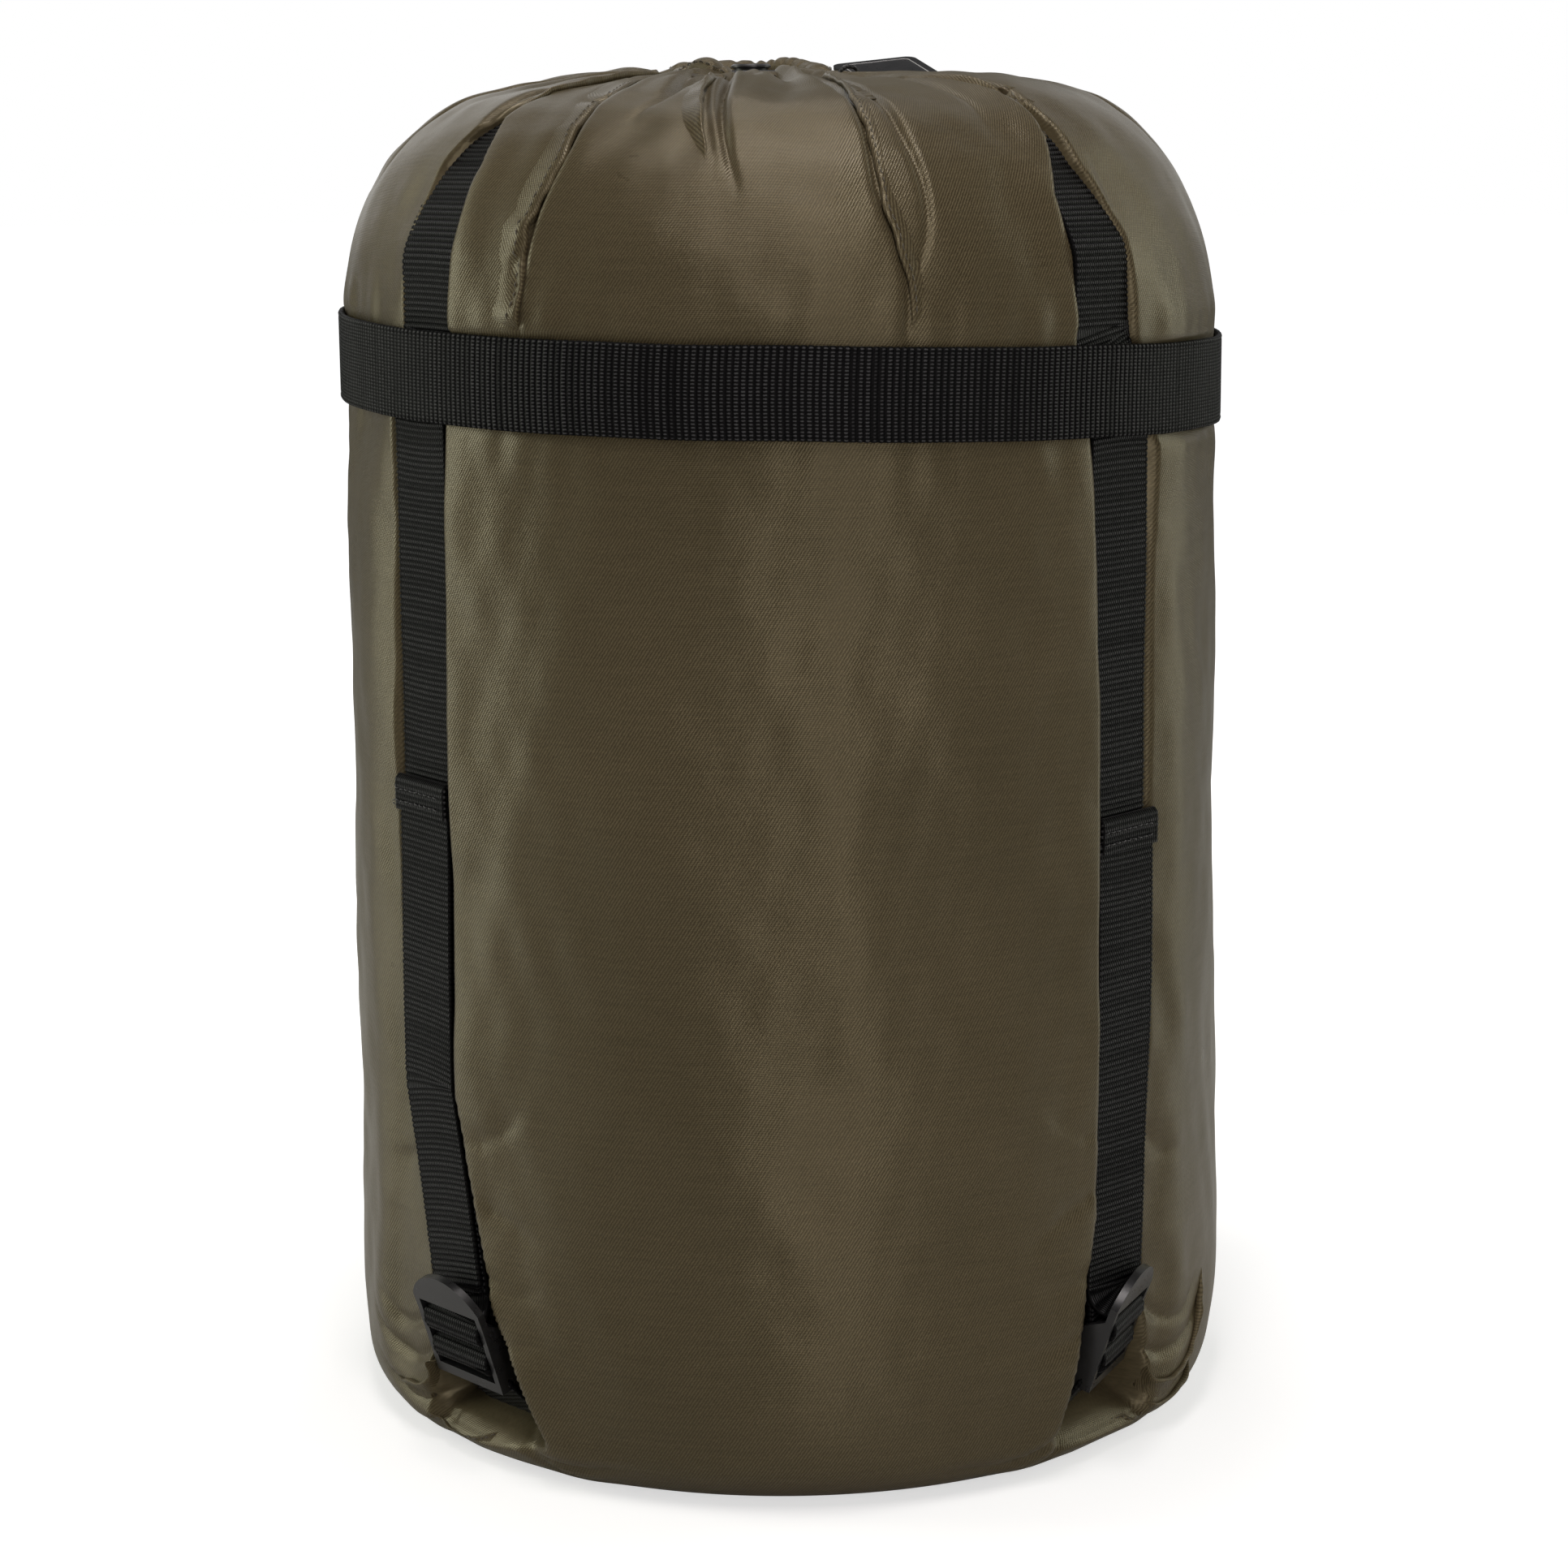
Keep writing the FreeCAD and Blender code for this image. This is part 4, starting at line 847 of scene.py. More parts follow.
def build_sack():
    """The sack's whole surface; gives a tree for finding points on it."""
    points, normals, height, facts = sack_surface()
    dome_folds(points, normals, height)
    base_folds(points, normals, height)
    mouth_gathers(points, height)
    # nothing rises into the straps or the band, and the base stays flat on the floor
    T, Z, R = facts["T"], facts["Z"], facts["R"]
    gap = np.abs(Z - band_height(T))
    calm = np.ones(len(T))
    for side in SIDES:
        phi = turned(T, side)
        across = R * np.sin(phi) - strap_shift(side, Z)
        left, right = lips(side, Z)
        inside = smooth(-3, 1, across - left) * smooth(-3, 1, right - across) * (np.cos(phi) > 0.5)
        calm *= np.where((Z > 45) & (R > 60), 1 - inside, 1)
    height *= calm
    height = np.where((gap < 13.5) & (R > 120), np.minimum(height, 128.1 - R), height)
    height *= np.where((Z < 4) & (R < 118), 0, 1)
    moved = points + normals * height[:, None]
    moved[:, 2] = np.maximum(moved[:, 2], 0.15)
    rows, count = facts["rows"], facts["count"]
    ends = np.array([[moved[:count, 0].mean(), moved[:count, 1].mean(), 0.4],
                     [moved[-count:, 0].mean(), moved[-count:, 1].mean(), moved[-count:, 2].mean()]])
    verts = np.vstack([moved, ends])
    faces = grid_faces(rows, count, True)
    j = np.arange(count)
    k = (j + 1) % count
    low, high = rows * count, rows * count + 1
    last = (rows - 1) * count
    caps = np.vstack([np.stack([np.full(count, low), k, j, j], 1),
                      np.stack([np.full(count, high), last + j, last + k, last + k], 1)])
    uv = np.stack([T * GIRTH * MM, facts["S"] * MM], 1)
    uv = np.vstack([uv, [[0, 0], [0, 1]]])
    quads = [tuple(f) for f in faces.tolist()]
    tris = [tuple(dict.fromkeys(f)) for f in caps.tolist()]
    mesh, corners = plain_mesh("sack_body", verts, quads + tris, CLOTH)
    corner_uv = uv[corners]
    # the last column of faces runs on past half a turn, not back round the sack
    seam = np.zeros(len(corners), bool)
    in_quads = len(quads) * 4
    column = (np.arange(in_quads) // 4) % count
    seam[:in_quads] = (column == count - 1) & (corner_uv[:in_quads, 0] < 0)
    corner_uv[seam, 0] += 2 * math.pi * GIRTH * MM
    add_uv(mesh, corner_uv)
    # the weave is not shown where the cloth is let into a tuck far from its flat pattern
    grid = moved.reshape(rows, count, 3)
    pulled = np.linalg.norm(np.roll(grid, -1, 1) - grid, axis=2) / (2 * math.pi * GIRTH / count)
    ahead = np.linalg.norm(np.diff(grid, axis=0), axis=2) / np.diff(facts["S"].reshape(rows, count), axis=0)
    pulled = np.maximum(pulled, np.vstack([ahead, ahead[-1:]]))
    add_value(mesh, "strain", np.append(smooth(1.25, 2.0, pulled).ravel(), [0, 0]))
    sack = stand("sack_body", mesh, "sack")
    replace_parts(sack, "packed_load", "sack_wall", "base_panel", "base_seam_tape")
    return BVHTree.FromPolygons([Vector(v) for v in verts.tolist()], quads + tris)


SKIN = build_sack()


def skin_near(point):
    """The point of the cloth nearest to a point, and the cloth's normal there, in millimetres."""
    hit, normal, _, _ = SKIN.find_nearest(Vector(point))
    hit, normal = np.array(hit), np.array(normal)
    return hit, normal if normal @ (hit - np.array([0, 0, min(hit[2], 330)])) > 0 else -normal


def flap(name, line, width, rise, side=1, fade=(14.0, 14.0), stitched=None, seed=0):
    """A lapped fold: cloth that climbs from the left of a line and turns under at its edge.
    side is 1 where the edge is on the right of the line as it runs, seen from outside."""
    path = resample(catmull(line, 1.0), 0.9)[0]
    near = [skin_near(p) for p in path]
    base = np.array([h for h, _ in near])
    normal = np.array([n for _, n in near])
    for _ in range(6):
        normal[1:-1] = unit(normal[:-2] + 2 * normal[1:-1] + normal[2:])
        base[1:-1] = (base[:-2] + 2 * base[1:-1] + base[2:]) / 4
    tangent = unit(np.gradient(base, axis=0))
    across = unit(np.cross(tangent, normal)) * side
    run = np.arange(len(base)) * 0.9
    ends = smooth(0, fade[0], run) * smooth(0, fade[1], run[-1] - run)
    flat = strung(run)
    lively = 1 + 0.22 * wobble(flat, 34, seed + 3, count=6) + 0.08 * wobble(flat, 9, seed + 4, count=6)
    drift = 0.5 * wobble(flat, 26, seed + 5, count=6) + 0.15 * wobble(flat, 7, seed + 6, count=6)
    # (distance from the edge as a part of the width, height as a part of the rise)
    slope = [(-1.0, -0.2), (-0.85, 0.0), (-0.68, 0.07), (-0.5, 0.19), (-0.34, 0.38), (-0.2, 0.64),
             (-0.07, 0.94)]
    curl = [(0.16, 0.96), (0.42, 0.70), (0.44, 0.40), (0.22, 0.16), (-0.4, 0.04)]
    ring, uv = [], []
    for u, h in slope:
        ring.append((u * width * (0.35 + 0.65 * ends) + drift * (1 + u), h * rise * ends * lively - 0.25))
    for u, h in curl:
        ring.append((u * ends + drift, h * rise * ends * lively - 0.25))
    ring.append((-0.5 * width * (0.35 + 0.65 * ends), np.full(len(run), -0.9)))
    rows = []
    for u, h in ring:
        spots = base + across * u[:, None]
        found = np.array([skin_near(p)[0] for p in spots])
        rows.append(found + normal * h[:, None])
        uv.append(np.column_stack([u * MM + base[:, 0] * MM, run * MM]))
    verts = np.stack(rows, 1).reshape(-1, 3)
    faces = grid_faces(len(run), len(rows), True)
    if side < 0:
        faces = faces[:, ::-1]
    mesh_piece(name, verts, faces, "sack", CLOTH, np.stack(uv, 1).reshape(-1, 2))
    if stitched:
        rng = np.random.default_rng(seed)
        seam = np.stack(rows, 1)[:, 5 if stitched == "edge" else 4]
        lines = []
        for i in range(3, len(seam) - 5, 3):
            lift = normal[i] * 0.22
            middle = seam[i + 1] + lift + across[i] * rng.uniform(-0.1, 0.1)
            lines.append([seam[i] - lift, middle, seam[i + 2] - lift])
        threads(name + "_stitches", lines, 0.17, "sack", OLIVE_THREAD)


# laps at a base corner: (across and height), width, rise, side of the edge, stitches
BASE_LAPS = {
    "wide": [
        ([(6, 30), (-6, 22), (-19, 17), (-33, 14)], 6.0, 2.4, 1, None),
        ([(18, 19), (14, 12.5), (5, 9), (-5, 8), (-15, 9)], 3.6, 1.7, 1, "edge"),
        ([(24, 16), (22, 11), (18, 7)], 3.6, 1.3, 1, None),
    ],
    "drawn": [
        ([(-54, 44), (-49, 32), (-39, 21), (-22, 17), (-8, 23)], 9.0, 2.6, -1, None),
        ([(-48, 20), (-38, 12), (-26, 9), (-12, 13)], 7.0, 2.0, -1, None),
        ([(-1, 19), (-7, 14), (-12, 10), (-18, 8)], 4.5, 1.5, 1, "edge"),
    ],
}


def build_flaps():
    """Folds whose cloth laps over itself: round the mouth, and where the buckles draw the base up."""
    top = [
        # (name, line from the mouth outwards, width, rise, side of the edge, fades, stitches)
        ("pleat_left", [(-30, -27, 393), (-41, -66, 389), (-50, -92, 376), (-58, -102, 362),
                        (-61.5, -106, 350), (-63.5, -109, 338), (-64.5, -111, 326)],
         14, 2.2, -1, (10, 3), "edge"),
        ("pleat_middle", [(-14, -27, 393), (-15, -60, 391), (-17.5, -88, 385), (-15.5, -103, 376),
                          (-13, -112, 364)], 8.0, 2.2, -1, (6, 26), None),
        ("pleat_right", [(13, -27, 393), (21, -72, 389), (28, -99, 378), (32, -113, 361), (37, -118.5, 347),
                         (39.5, -121, 334), (39.5, -122, 326)], 6.5, 1.9, 1, (10, 5), "edge"),
        ("pleat_far_right", [(27, -27, 392), (44, -40, 391), (60, -57, 386), (70, -69, 379), (77, -76, 370)],
         9, 2.6, 1, (10, 8), "edge"),
        ("pleat_far_left", [(-30, -19, 393), (-52, -46, 389), (-64, -62, 382), (-72, -72, 374)], 6.0, 2.2, -1,
         (10, 12), None),
        ("pleat_back_left", [(-28, 14, 393), (-62, 42, 388), (-78, 62, 378), (-84, 72, 366)], 6.5, 2.4, 1,
         (10, 12), "edge"),
        ("pleat_back", [(-6, 24, 393), (2, 70, 389), (9, 100, 378), (13, 116, 360)], 6.5, 2.4, -1,
         (10, 14), None),
        ("pleat_back_right", [(14, 18, 393), (46, 52, 389), (64, 72, 379), (72, 82, 366)], 6.0, 2.2, -1,
         (10, 12), None),
    ]
    for seed, (name, line, width, rise, side, fade, stitched) in enumerate(top):
        flap(name, line, width, rise, side, fade, stitched, 300 + seed)
    for index, side in enumerate(SIDES):
        mirror = -1 if side in MIRRORED else 1
        lean = SIDES[side]["shift"] * 0.4
        wide = SIDES[side]["shift"] > 5 or side == "back_right"
        corner = BASE_LAPS["wide" if wide else "drawn"]
        fade = (6 if wide else 16, 14)
        for number, (line, width, rise, edge, stitched) in enumerate(corner):
            path = [on_wall(side, a * mirror + lean, z) for a, z in line]
            flap(f"base_fold_{side}_{number + 1}", path, width, rise, edge * mirror, fade, stitched,
                 400 + 10 * index + number)


build_flaps()


# ---------------------------------------------------------------- webbing

def ribbon(centre, normal, width=WEB_WIDTH, thick=WEB, pitch=1.6, rib=0.3, seed=1, closed=False):
    """A strip of woven webbing along centre: cross ribs on both faces and a beaded selvedge.
    Gives its points, quads and weave coordinates."""
    line = np.array(centre, float)
    seg = np.linalg.norm(np.diff(line, axis=0), axis=1)
    s_in = np.concatenate([[0], np.cumsum(seg)])
    if closed:
        pitch = s_in[-1] / round(s_in[-1] / pitch)
    samples = 8
    n = int(round(s_in[-1] / pitch * samples)) + (0 if closed else 1)
    s = np.linspace(0, s_in[-1], n, endpoint=not closed)
    p = np.stack([np.interp(s, s_in, line[:, i]) for i in range(3)], 1)
    nrm = unit(np.stack([np.interp(s, s_in, np.array(normal)[:, i]) for i in range(3)], 1))
    t = unit(np.roll(p, -1, 0) - np.roll(p, 1, 0)) if closed else unit(np.gradient(p, axis=0))
    across = unit(np.cross(nrm, t))
    nrm = np.cross(t, across)
    rng = np.random.default_rng(seed)
    jitter = rng.normal(0, 0.05, int(s_in[-1] / pitch) + 4)
    phase = s / pitch
    which = np.clip(np.floor(phase).astype(int), 0, len(jitter) - 1)
    wave = np.abs(np.sin(math.pi * phase)) ** 0.8 * (1 + 1.6 * jitter[which])
    u = np.array([-1, -0.985, -0.94, -0.9, -0.84, -0.6, -0.3, 0, 0.3, 0.6, 0.84, 0.9, 0.94, 0.985, 1])
    edge = np.select([np.abs(u) > k for k in (0.99, 0.975, 0.93, 0.88)], [0.0, 0.62, 1.0, 0.8], 1.0)
    # ribs bow a little along the strip, and lie flatter in a band just inside each selvedge
    half = width / 2
    bow = 0.25 * wobble(strung(s), 60, seed + 1, count=5)
    # crest is how high each row stands on its rib; the webbing material turns it into painted shade in the
    # grooves and a painted highlight on the crests
    top, bottom, uv_top, crest = [], [], [], np.clip(wave, 0, 1)
    drift = 0.12 * wobble(strung(s), 38, seed + 3, count=5)
    for uu, ee in zip(u, edge):
        amount = rib if abs(uu) < 0.9 else rib * 1.3
        face = ee * thick / 2 + amount * wave * (1 if abs(uu) < 0.99 else 0)
        slip = bow * (1 - uu * uu)
        spread = uu * half + np.sign(uu) * (abs(uu) > 0.9) * 0.16 * (wave - 0.5) + drift
        base = p + t * slip[:, None] + across * spread[:, None]
        top.append(base + nrm * face[:, None])
        bottom.append(base - nrm * face[:, None])
        uv_top.append(np.stack([np.full(n, uu * half) * MM, s * MM], 1))
    ring = top + bottom[-2:0:-1]
    uvs = uv_top + uv_top[-2:0:-1]
    count = len(ring)
    verts = np.stack(ring, 1).reshape(-1, 3)
    uv = np.stack(uvs, 1).reshape(-1, 2)
    crests = np.repeat(crest, count)
    faces = ring_faces(n, count) if closed else grid_faces(n, count, True)
    if not closed:
        # close each cut end with a strip of quads between the two faces
        ends = []
        for row, turn in ((0, 1), (n - 1, -1)):
            k = row * count
            for i in range(len(u) - 1):
                a, b, c, d = k + i, k + i + 1, k + count - i - 1, k + count - i
                ends.append([a, b, c, d if i else c][::turn])
        faces = np.vstack([faces, ends])
    return verts, faces, uv, crests


def web_piece(name, centre, normal, body=None, **options):
    """A webbing strip as a piece of the object."""
    verts, faces, uv, crests = ribbon(centre, normal, **options)
    polygons = [tuple(dict.fromkeys(f)) for f in faces.tolist()]
    mesh, corners = plain_mesh(name, verts, polygons, WEBBING)
    # each point's height on its rib, which the webbing material uses for painted shade in the grooves and a
    # painted highlight on the crests
    add_value(mesh, "crest", crests)
    add_uv(mesh, uv[corners])
    return stand(name, mesh, body)


def strap_line(side):
    """Centre line and outward normals of a standing strap."""
    heights = np.concatenate([np.arange(56, 340, 4.0), np.arange(340, 384.1, 1.5)])
    out = floor_out(heights) + 0.35 + WEB / 2
    out = np.where(heights < TUCK_TOP, STRAP_OUT, out)
    # past the lips the strap dips under the folds
    out -= 2.2 * smooth(374, 384, heights)
    flat = np.stack([out, heights], 1)
    flat = np.stack([np.convolve(np.pad(flat[:, i], 2, mode="edge"), np.ones(5) / 5, "valid")
                     for i in (0, 1)], 1)
    flat[0], flat[-1] = (out[0], heights[0]), (out[-1], heights[-1])
    tangent = unit(np.gradient(flat, axis=0))
    normal = np.stack([tangent[:, 1], -tangent[:, 0]], 1)
    across = strap_shift(side, flat[:, 1])
    return local(side, across, *flat.T), local(side, 0, *normal.T)


def buckle_frame(side):
    """Buckle coordinates (across, inward, up the buckle) to the object frame."""
    facts = SIDES[side]
    turn = Matrix.Rotation(math.radians(facts["theta"]), 4, "Z")
    place = Matrix.Translation((facts["shift"], -HINGE_OUT, HINGE_Z))
    twist = Matrix.Rotation(math.radians(facts["twist"]), 4, "Z")
    hinge = turn @ place @ twist
    return hinge, hinge @ Matrix.Rotation(REST_PITCH, 4, "X"), turn


def through(matrix, points):
    """Points moved by a matrix."""
    m = np.array(matrix)
    return np.asarray(points) @ m[:3, :3].T + m[:3, 3]


def planar_normals(flat):
    """Normals of a line drawn in (inward, up), on its outer side when it runs up."""
    t = unit(np.gradient(flat, axis=0))
    return np.stack([-t[:, 1], t[:, 0]], 1)


def build_wrap(side):
    """The strap's run behind the buckle's upper bar, round it and up to the tail."""
    hinge, buckle, turn = buckle_frame(side)
    turns = np.radians([-10, -40, -70, -100, -130, -160, -190, -220, -245])
    loop = [(math.cos(a), math.sin(a)) for a in turns]
    bar_up, bend = 9.5, 3.75
    middle = [(bend * c, bar_up + bend * s) for c, s in loop]
    flat = [(4.9, 12.4)] + middle + [(0.6, 14.6)]
    bent = through(buckle, [(0, y, v) for y, v in flat])
    meet = np.array([56.0, 52.0])
    start = local(side, strap_shift(side, meet), STRAP_OUT, meet)
    end = np.array([50.5, 53.0])
    finish = local(side, strap_shift(side, end) + tail_offset(side, end), TAIL_OUT, end)
    line = np.vstack([start, bent, finish])
    path = catmull(line, 0.6)
    # sideways direction: the strap's own at both ends, the buckle's round the bar
    strap_side = np.array(turn)[:3, 0]
    buckle_side = np.array(hinge)[:3, 0]
    low = np.array(hinge)[:3, 3]
    rise = path[:, 2] - low[2]
    mix = smooth(14, 20, rise)[:, None]
    across = unit(strap_side * mix + buckle_side * (1 - mix))
    t = unit(np.gradient(path, axis=0))
    normal = unit(np.cross(t, across))
    obj = web_piece(f"strap_wrap_piece_{side}", path, -normal, rib=0.26, seed=70 + len(side))
    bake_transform(obj)
    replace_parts(obj, f"strap_wrap_{side}")


def build_anchor(side):
    """Anchor webbing: up from the base seam, round the buckle's lower bar and back down."""
    hinge, _, _ = buckle_frame(side)
    turns = np.radians([30, 65, 100, 135, 170, 205, 240, 275])
    bend = 3.65
    loop = [(bend * math.cos(a), bend * math.sin(a)) for a in turns]
    flat = ([(20.0, -20.0), (15.4, -11.5), (8.4, -2.6)] + loop
            + [(1.6, -4.6), (4.6, -9.6), (9.0, -15.5), (13.5, -21.5)])
    flat = catmull(flat, 0.5)
    normal = planar_normals(flat)
    # below the bar the webbing follows the slant of the strap above
    slide = math.copysign(0.55, SIDES[side]["shift"]) * np.maximum(-3.0 - flat[:, 1], 0)
    line = through(hinge, np.column_stack([slide, flat]))
    rotation = np.array(hinge)[:3, :3]
    way = np.column_stack([np.zeros(len(flat)), normal]) @ rotation.T
    obj = web_piece(f"anchor_piece_{side}", line, way, "sack", rib=0.26, seed=90 + len(side))
    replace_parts(obj, f"anchor_{side}")


def tail_offset(side, z):
    """Each tail lies a little askew on its strap."""
    low, high = {"front_left": (-1.0, -0.2), "front_right": (0.0, 2.6), "back_right": (0.6, -1.6),
                 "back_left": (-0.4, 1.4)}[side]
    return np.interp(z, [50, SIDES[side]["tail_top"]], [low, high])


def build_tail(side):
    """The loose end of a strap, with its sewn hem."""
    facts = SIDES[side]
    top = facts["tail_top"]
    heights = np.concatenate([np.arange(53, top - 0.01, 2.0), [top]])
    out = TAIL_OUT + 0.35 * smooth(57, 97, heights) * (1 + np.sin(heights / 17 + facts["theta"]))
    across = strap_shift(side, heights) + tail_offset(side, heights)
    line = local(side, across, out, heights)
    slope = np.gradient(out, heights)
    way = unit(local(side, 0, 1, -slope))
    tail = web_piece(f"tail_piece_{side}", line, way, rib=0.32, seed=11 + len(side) + int(top))
    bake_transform(tail)
    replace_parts(tail, f"tail_{side}")
    # the end is folded back on itself and sewn down
    fold = 9.0
    last_out = float(out[-1])
    lift = WEB + 0.25
    across_top = float(across[-1])
    flat = catmull([(last_out + 0.1, top - 0.4), (last_out + 0.5, top + 0.3),
                    (last_out + lift * 0.75, top + 0.1), (last_out + lift, top - 1.2),
                    (last_out + lift, top - fold * 0.5), (last_out + lift - 0.1, top - fold)], 0.4)
    t = unit(np.gradient(flat, axis=0))
    hem_line = local(side, across_top, *flat.T)
    way = -local(side, 0, t[:, 1], -t[:, 0])
    hem = web_piece(f"tail_hem_piece_{side}", hem_line, way, f"loose_tail_{side}", rib=0.15,
                    width=WEB_WIDTH + 0.5, seed=31 + len(side))
    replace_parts(hem, f"tail_hem_{side}")
    # two rows of lock stitches across the fold, and threads that have come loose at its left edge
    rng = np.random.default_rng(int(top))
    surface = last_out + lift + WEB / 2 + 0.3
    lines = []
    for row in (top - 3.0, top - 6.4):
        for x in np.arange(-11.2, 11.3, 2.5):
            ends = [(x - 0.95, row + rng.uniform(-0.25, 0.25)), (x, row),
                    (x + 0.95, row + rng.uniform(-0.25, 0.25))]
            lines.append([local(side, across_top + u, surface + (0.12 if i == 1 else -0.25), v)
                          for i, (u, v) in enumerate(ends)])
    for _ in range(7):
        edge = -WEB_WIDTH / 2
        z = top - rng.uniform(3, 9)
        length = rng.uniform(1.2, 3.6)
        fall = rng.uniform(-1.4, 1.0)
        lines.append([local(side, across_top + edge + 0.6 - length * k, last_out + 0.9 + 0.5 * k,
                            z + fall * k * k) for k in (0, 0.35, 0.7, 1)])
    threads(f"tail_stitches_{side}", lines, 0.17, f"loose_tail_{side}", BLACK_THREAD)


for SIDE in SIDES:
    LINE, WAY = strap_line(SIDE)
    STRAP = web_piece(f"strap_piece_{SIDE}", LINE, WAY, "sack", seed=200 + len(SIDE), rib=0.32)
    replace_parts(STRAP, f"strap_{SIDE}")
    build_wrap(SIDE)
    build_anchor(SIDE)
    build_tail(SIDE)


# ---------------------------------------------------------------- girth band

def hoop(name, radius, theta, **options):
    """Webbing that follows the band's height round the sack."""
    way = np.stack([np.sin(theta), -np.cos(theta), 0 * theta], 1)
    line = way * np.reshape(radius, (-1, 1))
    line[:, 2] = band_height(theta)
    return web_piece(name, line, way, "sack", pitch=1.9, rib=0.24, **options)


def build_band():
    """The girth band, its lap at the back and the stitches through the lap."""
    theta = np.linspace(-math.pi, math.pi, 1441)
    radius = 129.1 + 0.12 * np.sin(5 * theta + 1) + 0.12 * np.sin(11 * theta)
    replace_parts(hoop("girth_band_piece", radius, theta, seed=5, closed=True), "girth_band")
    lap_half = 0.157
    over = np.linspace(math.pi - lap_half, math.pi + lap_half, 60)
    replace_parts(hoop("band_lap_piece", 130.75, over, seed=6), "girth_band_lap")
    # box stitch through the lap
    lines = []
    half, tall, face = 17.0, 9.5, 131.75
    corners = [(-half, -tall), (half, -tall), (half, tall), (-half, tall), (-half, -tall), (half, tall)]
    rows = list(zip(corners[:-1], corners[1:])) + [((-half, tall), (half, -tall))]
    for (x0, z0), (x1, z1) in rows:
        length = math.hypot(x1 - x0, z1 - z0)
        count = int(length / 3.0)
        for i in range(count):
            run = [(i + f) / count for f in (0.08, 0.45, 0.82)]
            stitch = []
            for k, f in enumerate(run):
                a = math.pi + (x0 + (x1 - x0) * f) / 131.4
                r = face + (0.1 if k == 1 else -0.2)
                stitch.append((r * math.sin(a), -r * math.cos(a), float(band_height(a)) + z0 + (z1 - z0) * f))
            lines.append(stitch)
    threads("band_lap_stitches", lines, 0.2, "sack", BLACK_THREAD)


build_band()


def build_tacks():
    """A zigzag bar tack across each standing strap behind the band."""
    rng = np.random.default_rng(9)
    lines = []
    for side in SIDES:
        out = VALLEY + WEB + 0.25
        xs = strap_shift(side, BAND_Z) + np.linspace(-10, 10, 41)
        lines.append([local(side, x, out + 0.16, BAND_Z + (1.3 if i % 2 else -1.3) + rng.uniform(-0.1, 0.1))
                      for i, x in enumerate(xs)])
    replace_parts(threads("bar_tack_threads", lines, 0.2, "sack", BLACK_THREAD), "bar_tacks")


build_tacks()


# ---------------------------------------------------------------- mouth

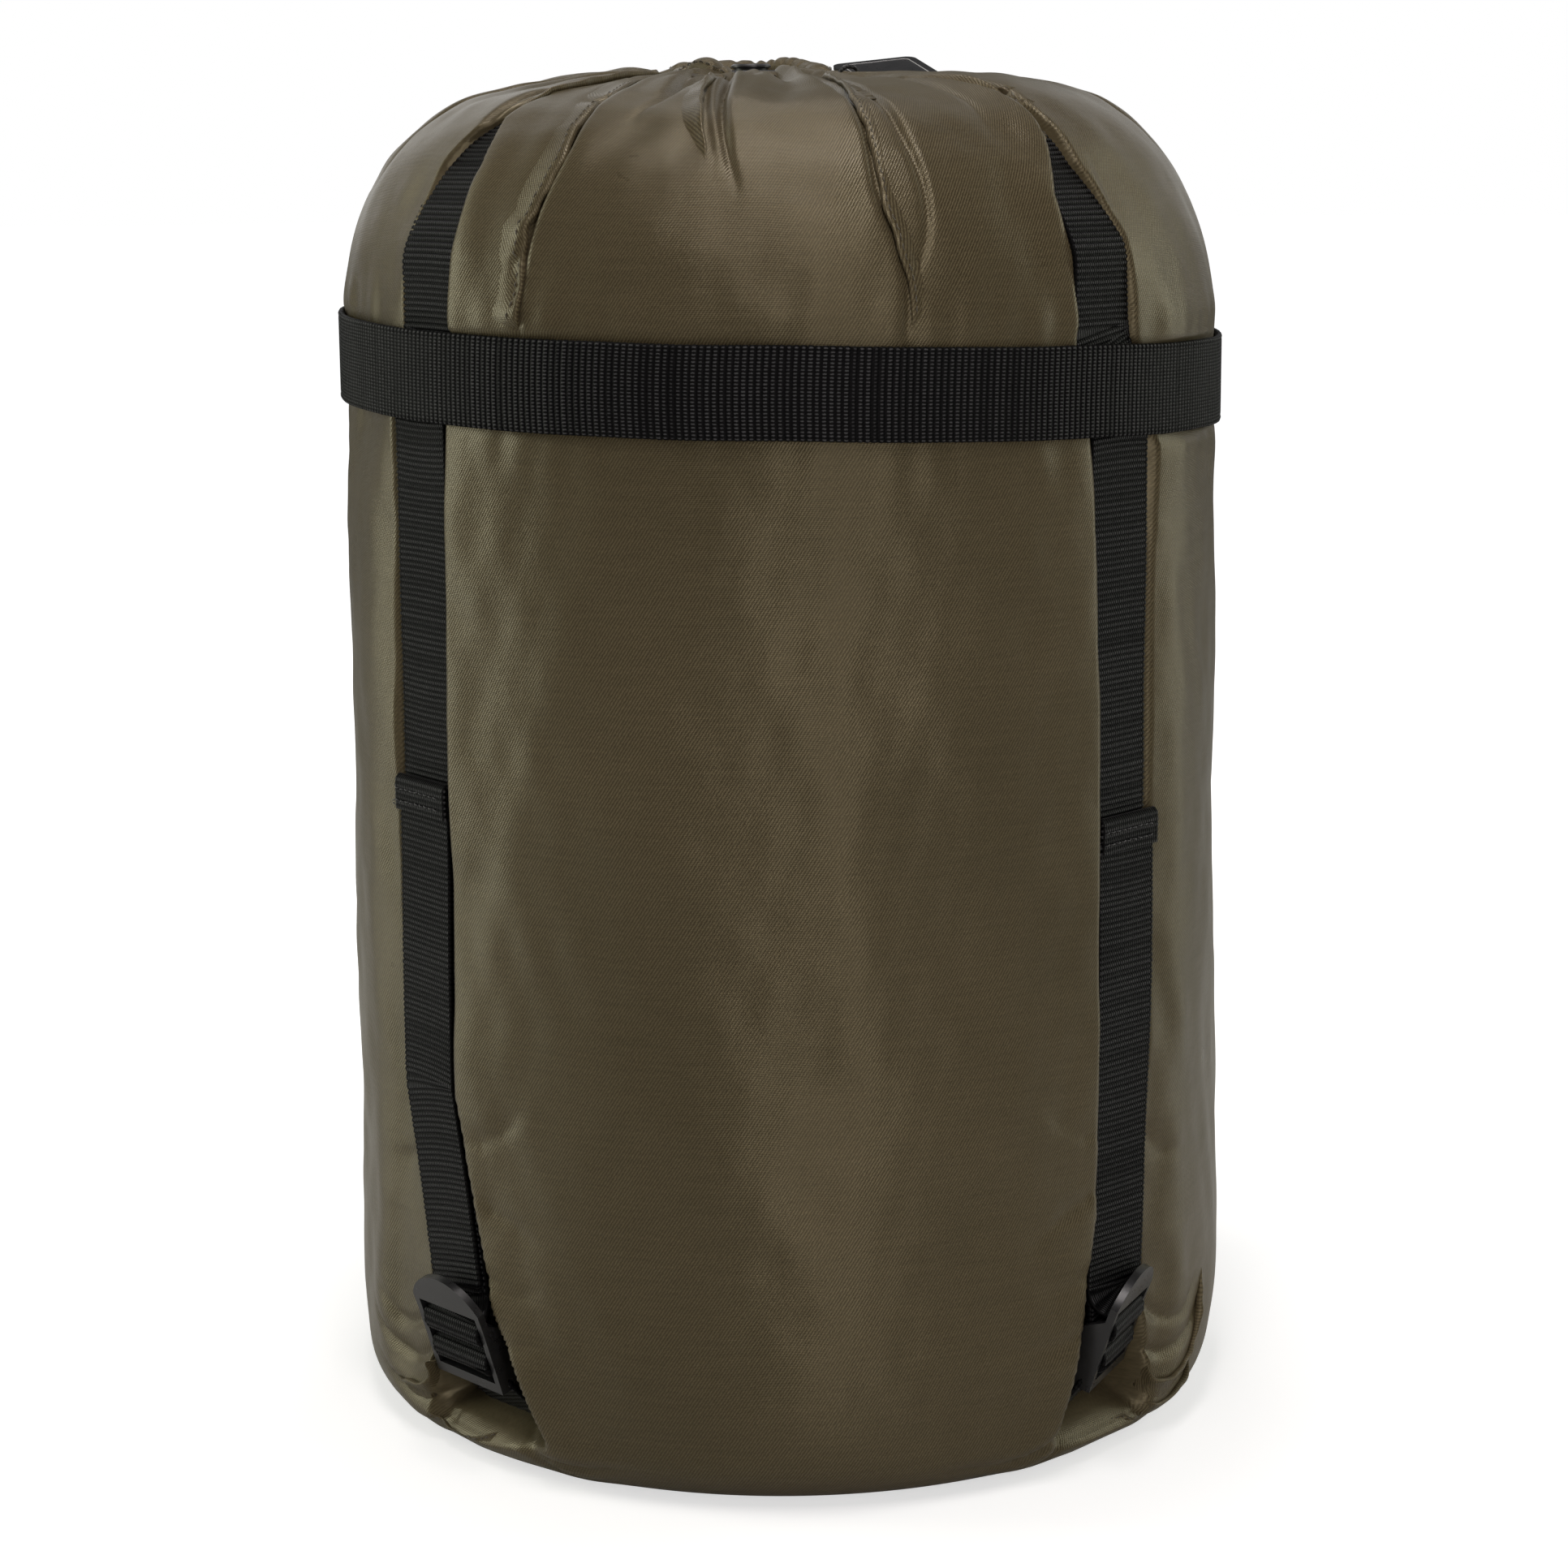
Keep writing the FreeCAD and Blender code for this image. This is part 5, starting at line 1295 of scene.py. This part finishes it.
def build_hem():
    """The drawn hem channel: a ruffled roll of cloth round the mouth."""
    rng = np.random.default_rng(23)
    count, sides = 1080, 40
    alpha = np.linspace(0, 2 * math.pi, count, endpoint=False)
    around = np.linspace(0, 2 * math.pi, sides, endpoint=False)
    ruffles = np.zeros(count)
    edges = np.sort(rng.uniform(0, 2 * math.pi, 44))
    for a in edges:
        d = (alpha - a + math.pi) % (2 * math.pi) - math.pi
        ruffles -= rng.uniform(0.35, 1.0) * bell(d * 20, rng.uniform(0.5, 1.1))
    lump = 0.6 * np.sin(3 * alpha + 0.4) + 0.4 * np.sin(7 * alpha + 2.0)
    rho = 20.6 + 0.9 * np.sin(2 * alpha + 0.8) + 0.5 * lump
    # the far side stands higher than the near one
    z = 392.4 - 2.2 * np.cos(alpha) + 0.5 * lump + 4.6 * bell(np.angle(np.exp(1j * (alpha + 0.62))), 0.36)
    z -= 1.6 * bell(np.angle(np.exp(1j * (alpha + 0.14))), 0.10)
    tube_r = 3.9 + 0.25 * lump
    shape = []
    for k in around:
        squeeze = 1.0 + 0.10 * math.cos(2 * k)
        r = (tube_r + ruffles * (0.75 + 0.25 * math.cos(k))) * squeeze
        shape.append(np.stack([MOUTH[0] + (rho + r * math.cos(k)) * np.sin(alpha),
                               MOUTH[1] - (rho + r * math.cos(k)) * np.cos(alpha),
                               z + r * math.sin(k)], 1))
    ring = np.stack(shape, 1)
    uv = np.stack([np.repeat(alpha * 60 * MM, sides), np.tile(around * 4 * MM, count)], 1)
    verts = ring.reshape(-1, 3)
    faces = ring_faces(count, sides)[:, ::-1]
    hem = mesh_piece("mouth_hem_roll", verts, faces, "sack", CLOTH, uv)
    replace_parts(hem, "mouth_hem")
    # stitches that close the channel
    lines = []
    for a in np.arange(0, 2 * math.pi, 0.105):
        stitch = []
        for k, da in enumerate((-0.028, 0, 0.028)):
            i = int(round((a + da) / (2 * math.pi) * count)) % count
            r = rho[i] + 4.0 * math.cos(0.55) + (0.3 if k == 1 else 0.0)
            stitch.append((MOUTH[0] + r * math.sin(a + da), MOUTH[1] - r * math.cos(a + da),
                           z[i] + 4.0 * math.sin(0.55) + (0.3 if k == 1 else -0.1)))
        lines.append(stitch)
    threads("mouth_stitches", lines, 0.2, "sack", OLIVE_THREAD)


build_hem()


# ---------------------------------------------------------------- moulded parts, tag and cord

def dress(node, material, width=0.0, segments=3):
    """A CAD part's own material, with its edges eased as moulding leaves them."""
    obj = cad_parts[node]
    obj.data.materials.clear()
    obj.data.materials.append(material)
    if width:
        bevel = obj.modifiers.new("eased_edges", "BEVEL")
        bevel.width = width * MM
        bevel.segments = segments
        bevel.limit_method = "ANGLE"
        bevel.angle_limit = math.radians(35)
        bevel.harden_normals = True


for SIDE in SIDES:
    dress(f"buckle_{SIDE}", BUCKLE_PLASTIC, 0.45)
dress("cord_lock_body", LOCK_PLASTIC, 0.3)
dress("cord_lock_plunger", LOCK_PLASTIC, 0.3)
dress("cord_lock_spring", WIRE)
dress("drawcord", CORD)
dress("hang_tag", CARD, 0.2)
dress("tag_loop", CORD)


def build_tag_line():
    """A pale line just inside the tag's edges, on both faces."""
    tilt = Matrix.Rotation(math.radians(15), 4, "X") @ Matrix.Rotation(math.radians(22), 4, "Z")
    place = Matrix.Translation((32.6, 2.9, 392.8)) @ tilt
    half_x, half_y, inset, corner = 13.0, 15.0, 2.6, 1.6
    outline = []
    for cx, cy, start in ((1, 1, 0), (-1, 1, 90), (-1, -1, 180), (1, -1, 270)):
        for a in np.radians(np.arange(start, start + 91, 15)):
            outline.append(((half_x - inset - corner) * cx + corner * math.cos(a),
                            (half_y - inset - corner) * cy + corner * math.sin(a)))
    lines = [through(place, [(x, y, height) for x, y in outline]) for height in (1.0, 0.0)]
    threads("tag_border", lines, 0.16, "tag", CARD_LINE, "tag_card", closed=True)


build_tag_line()
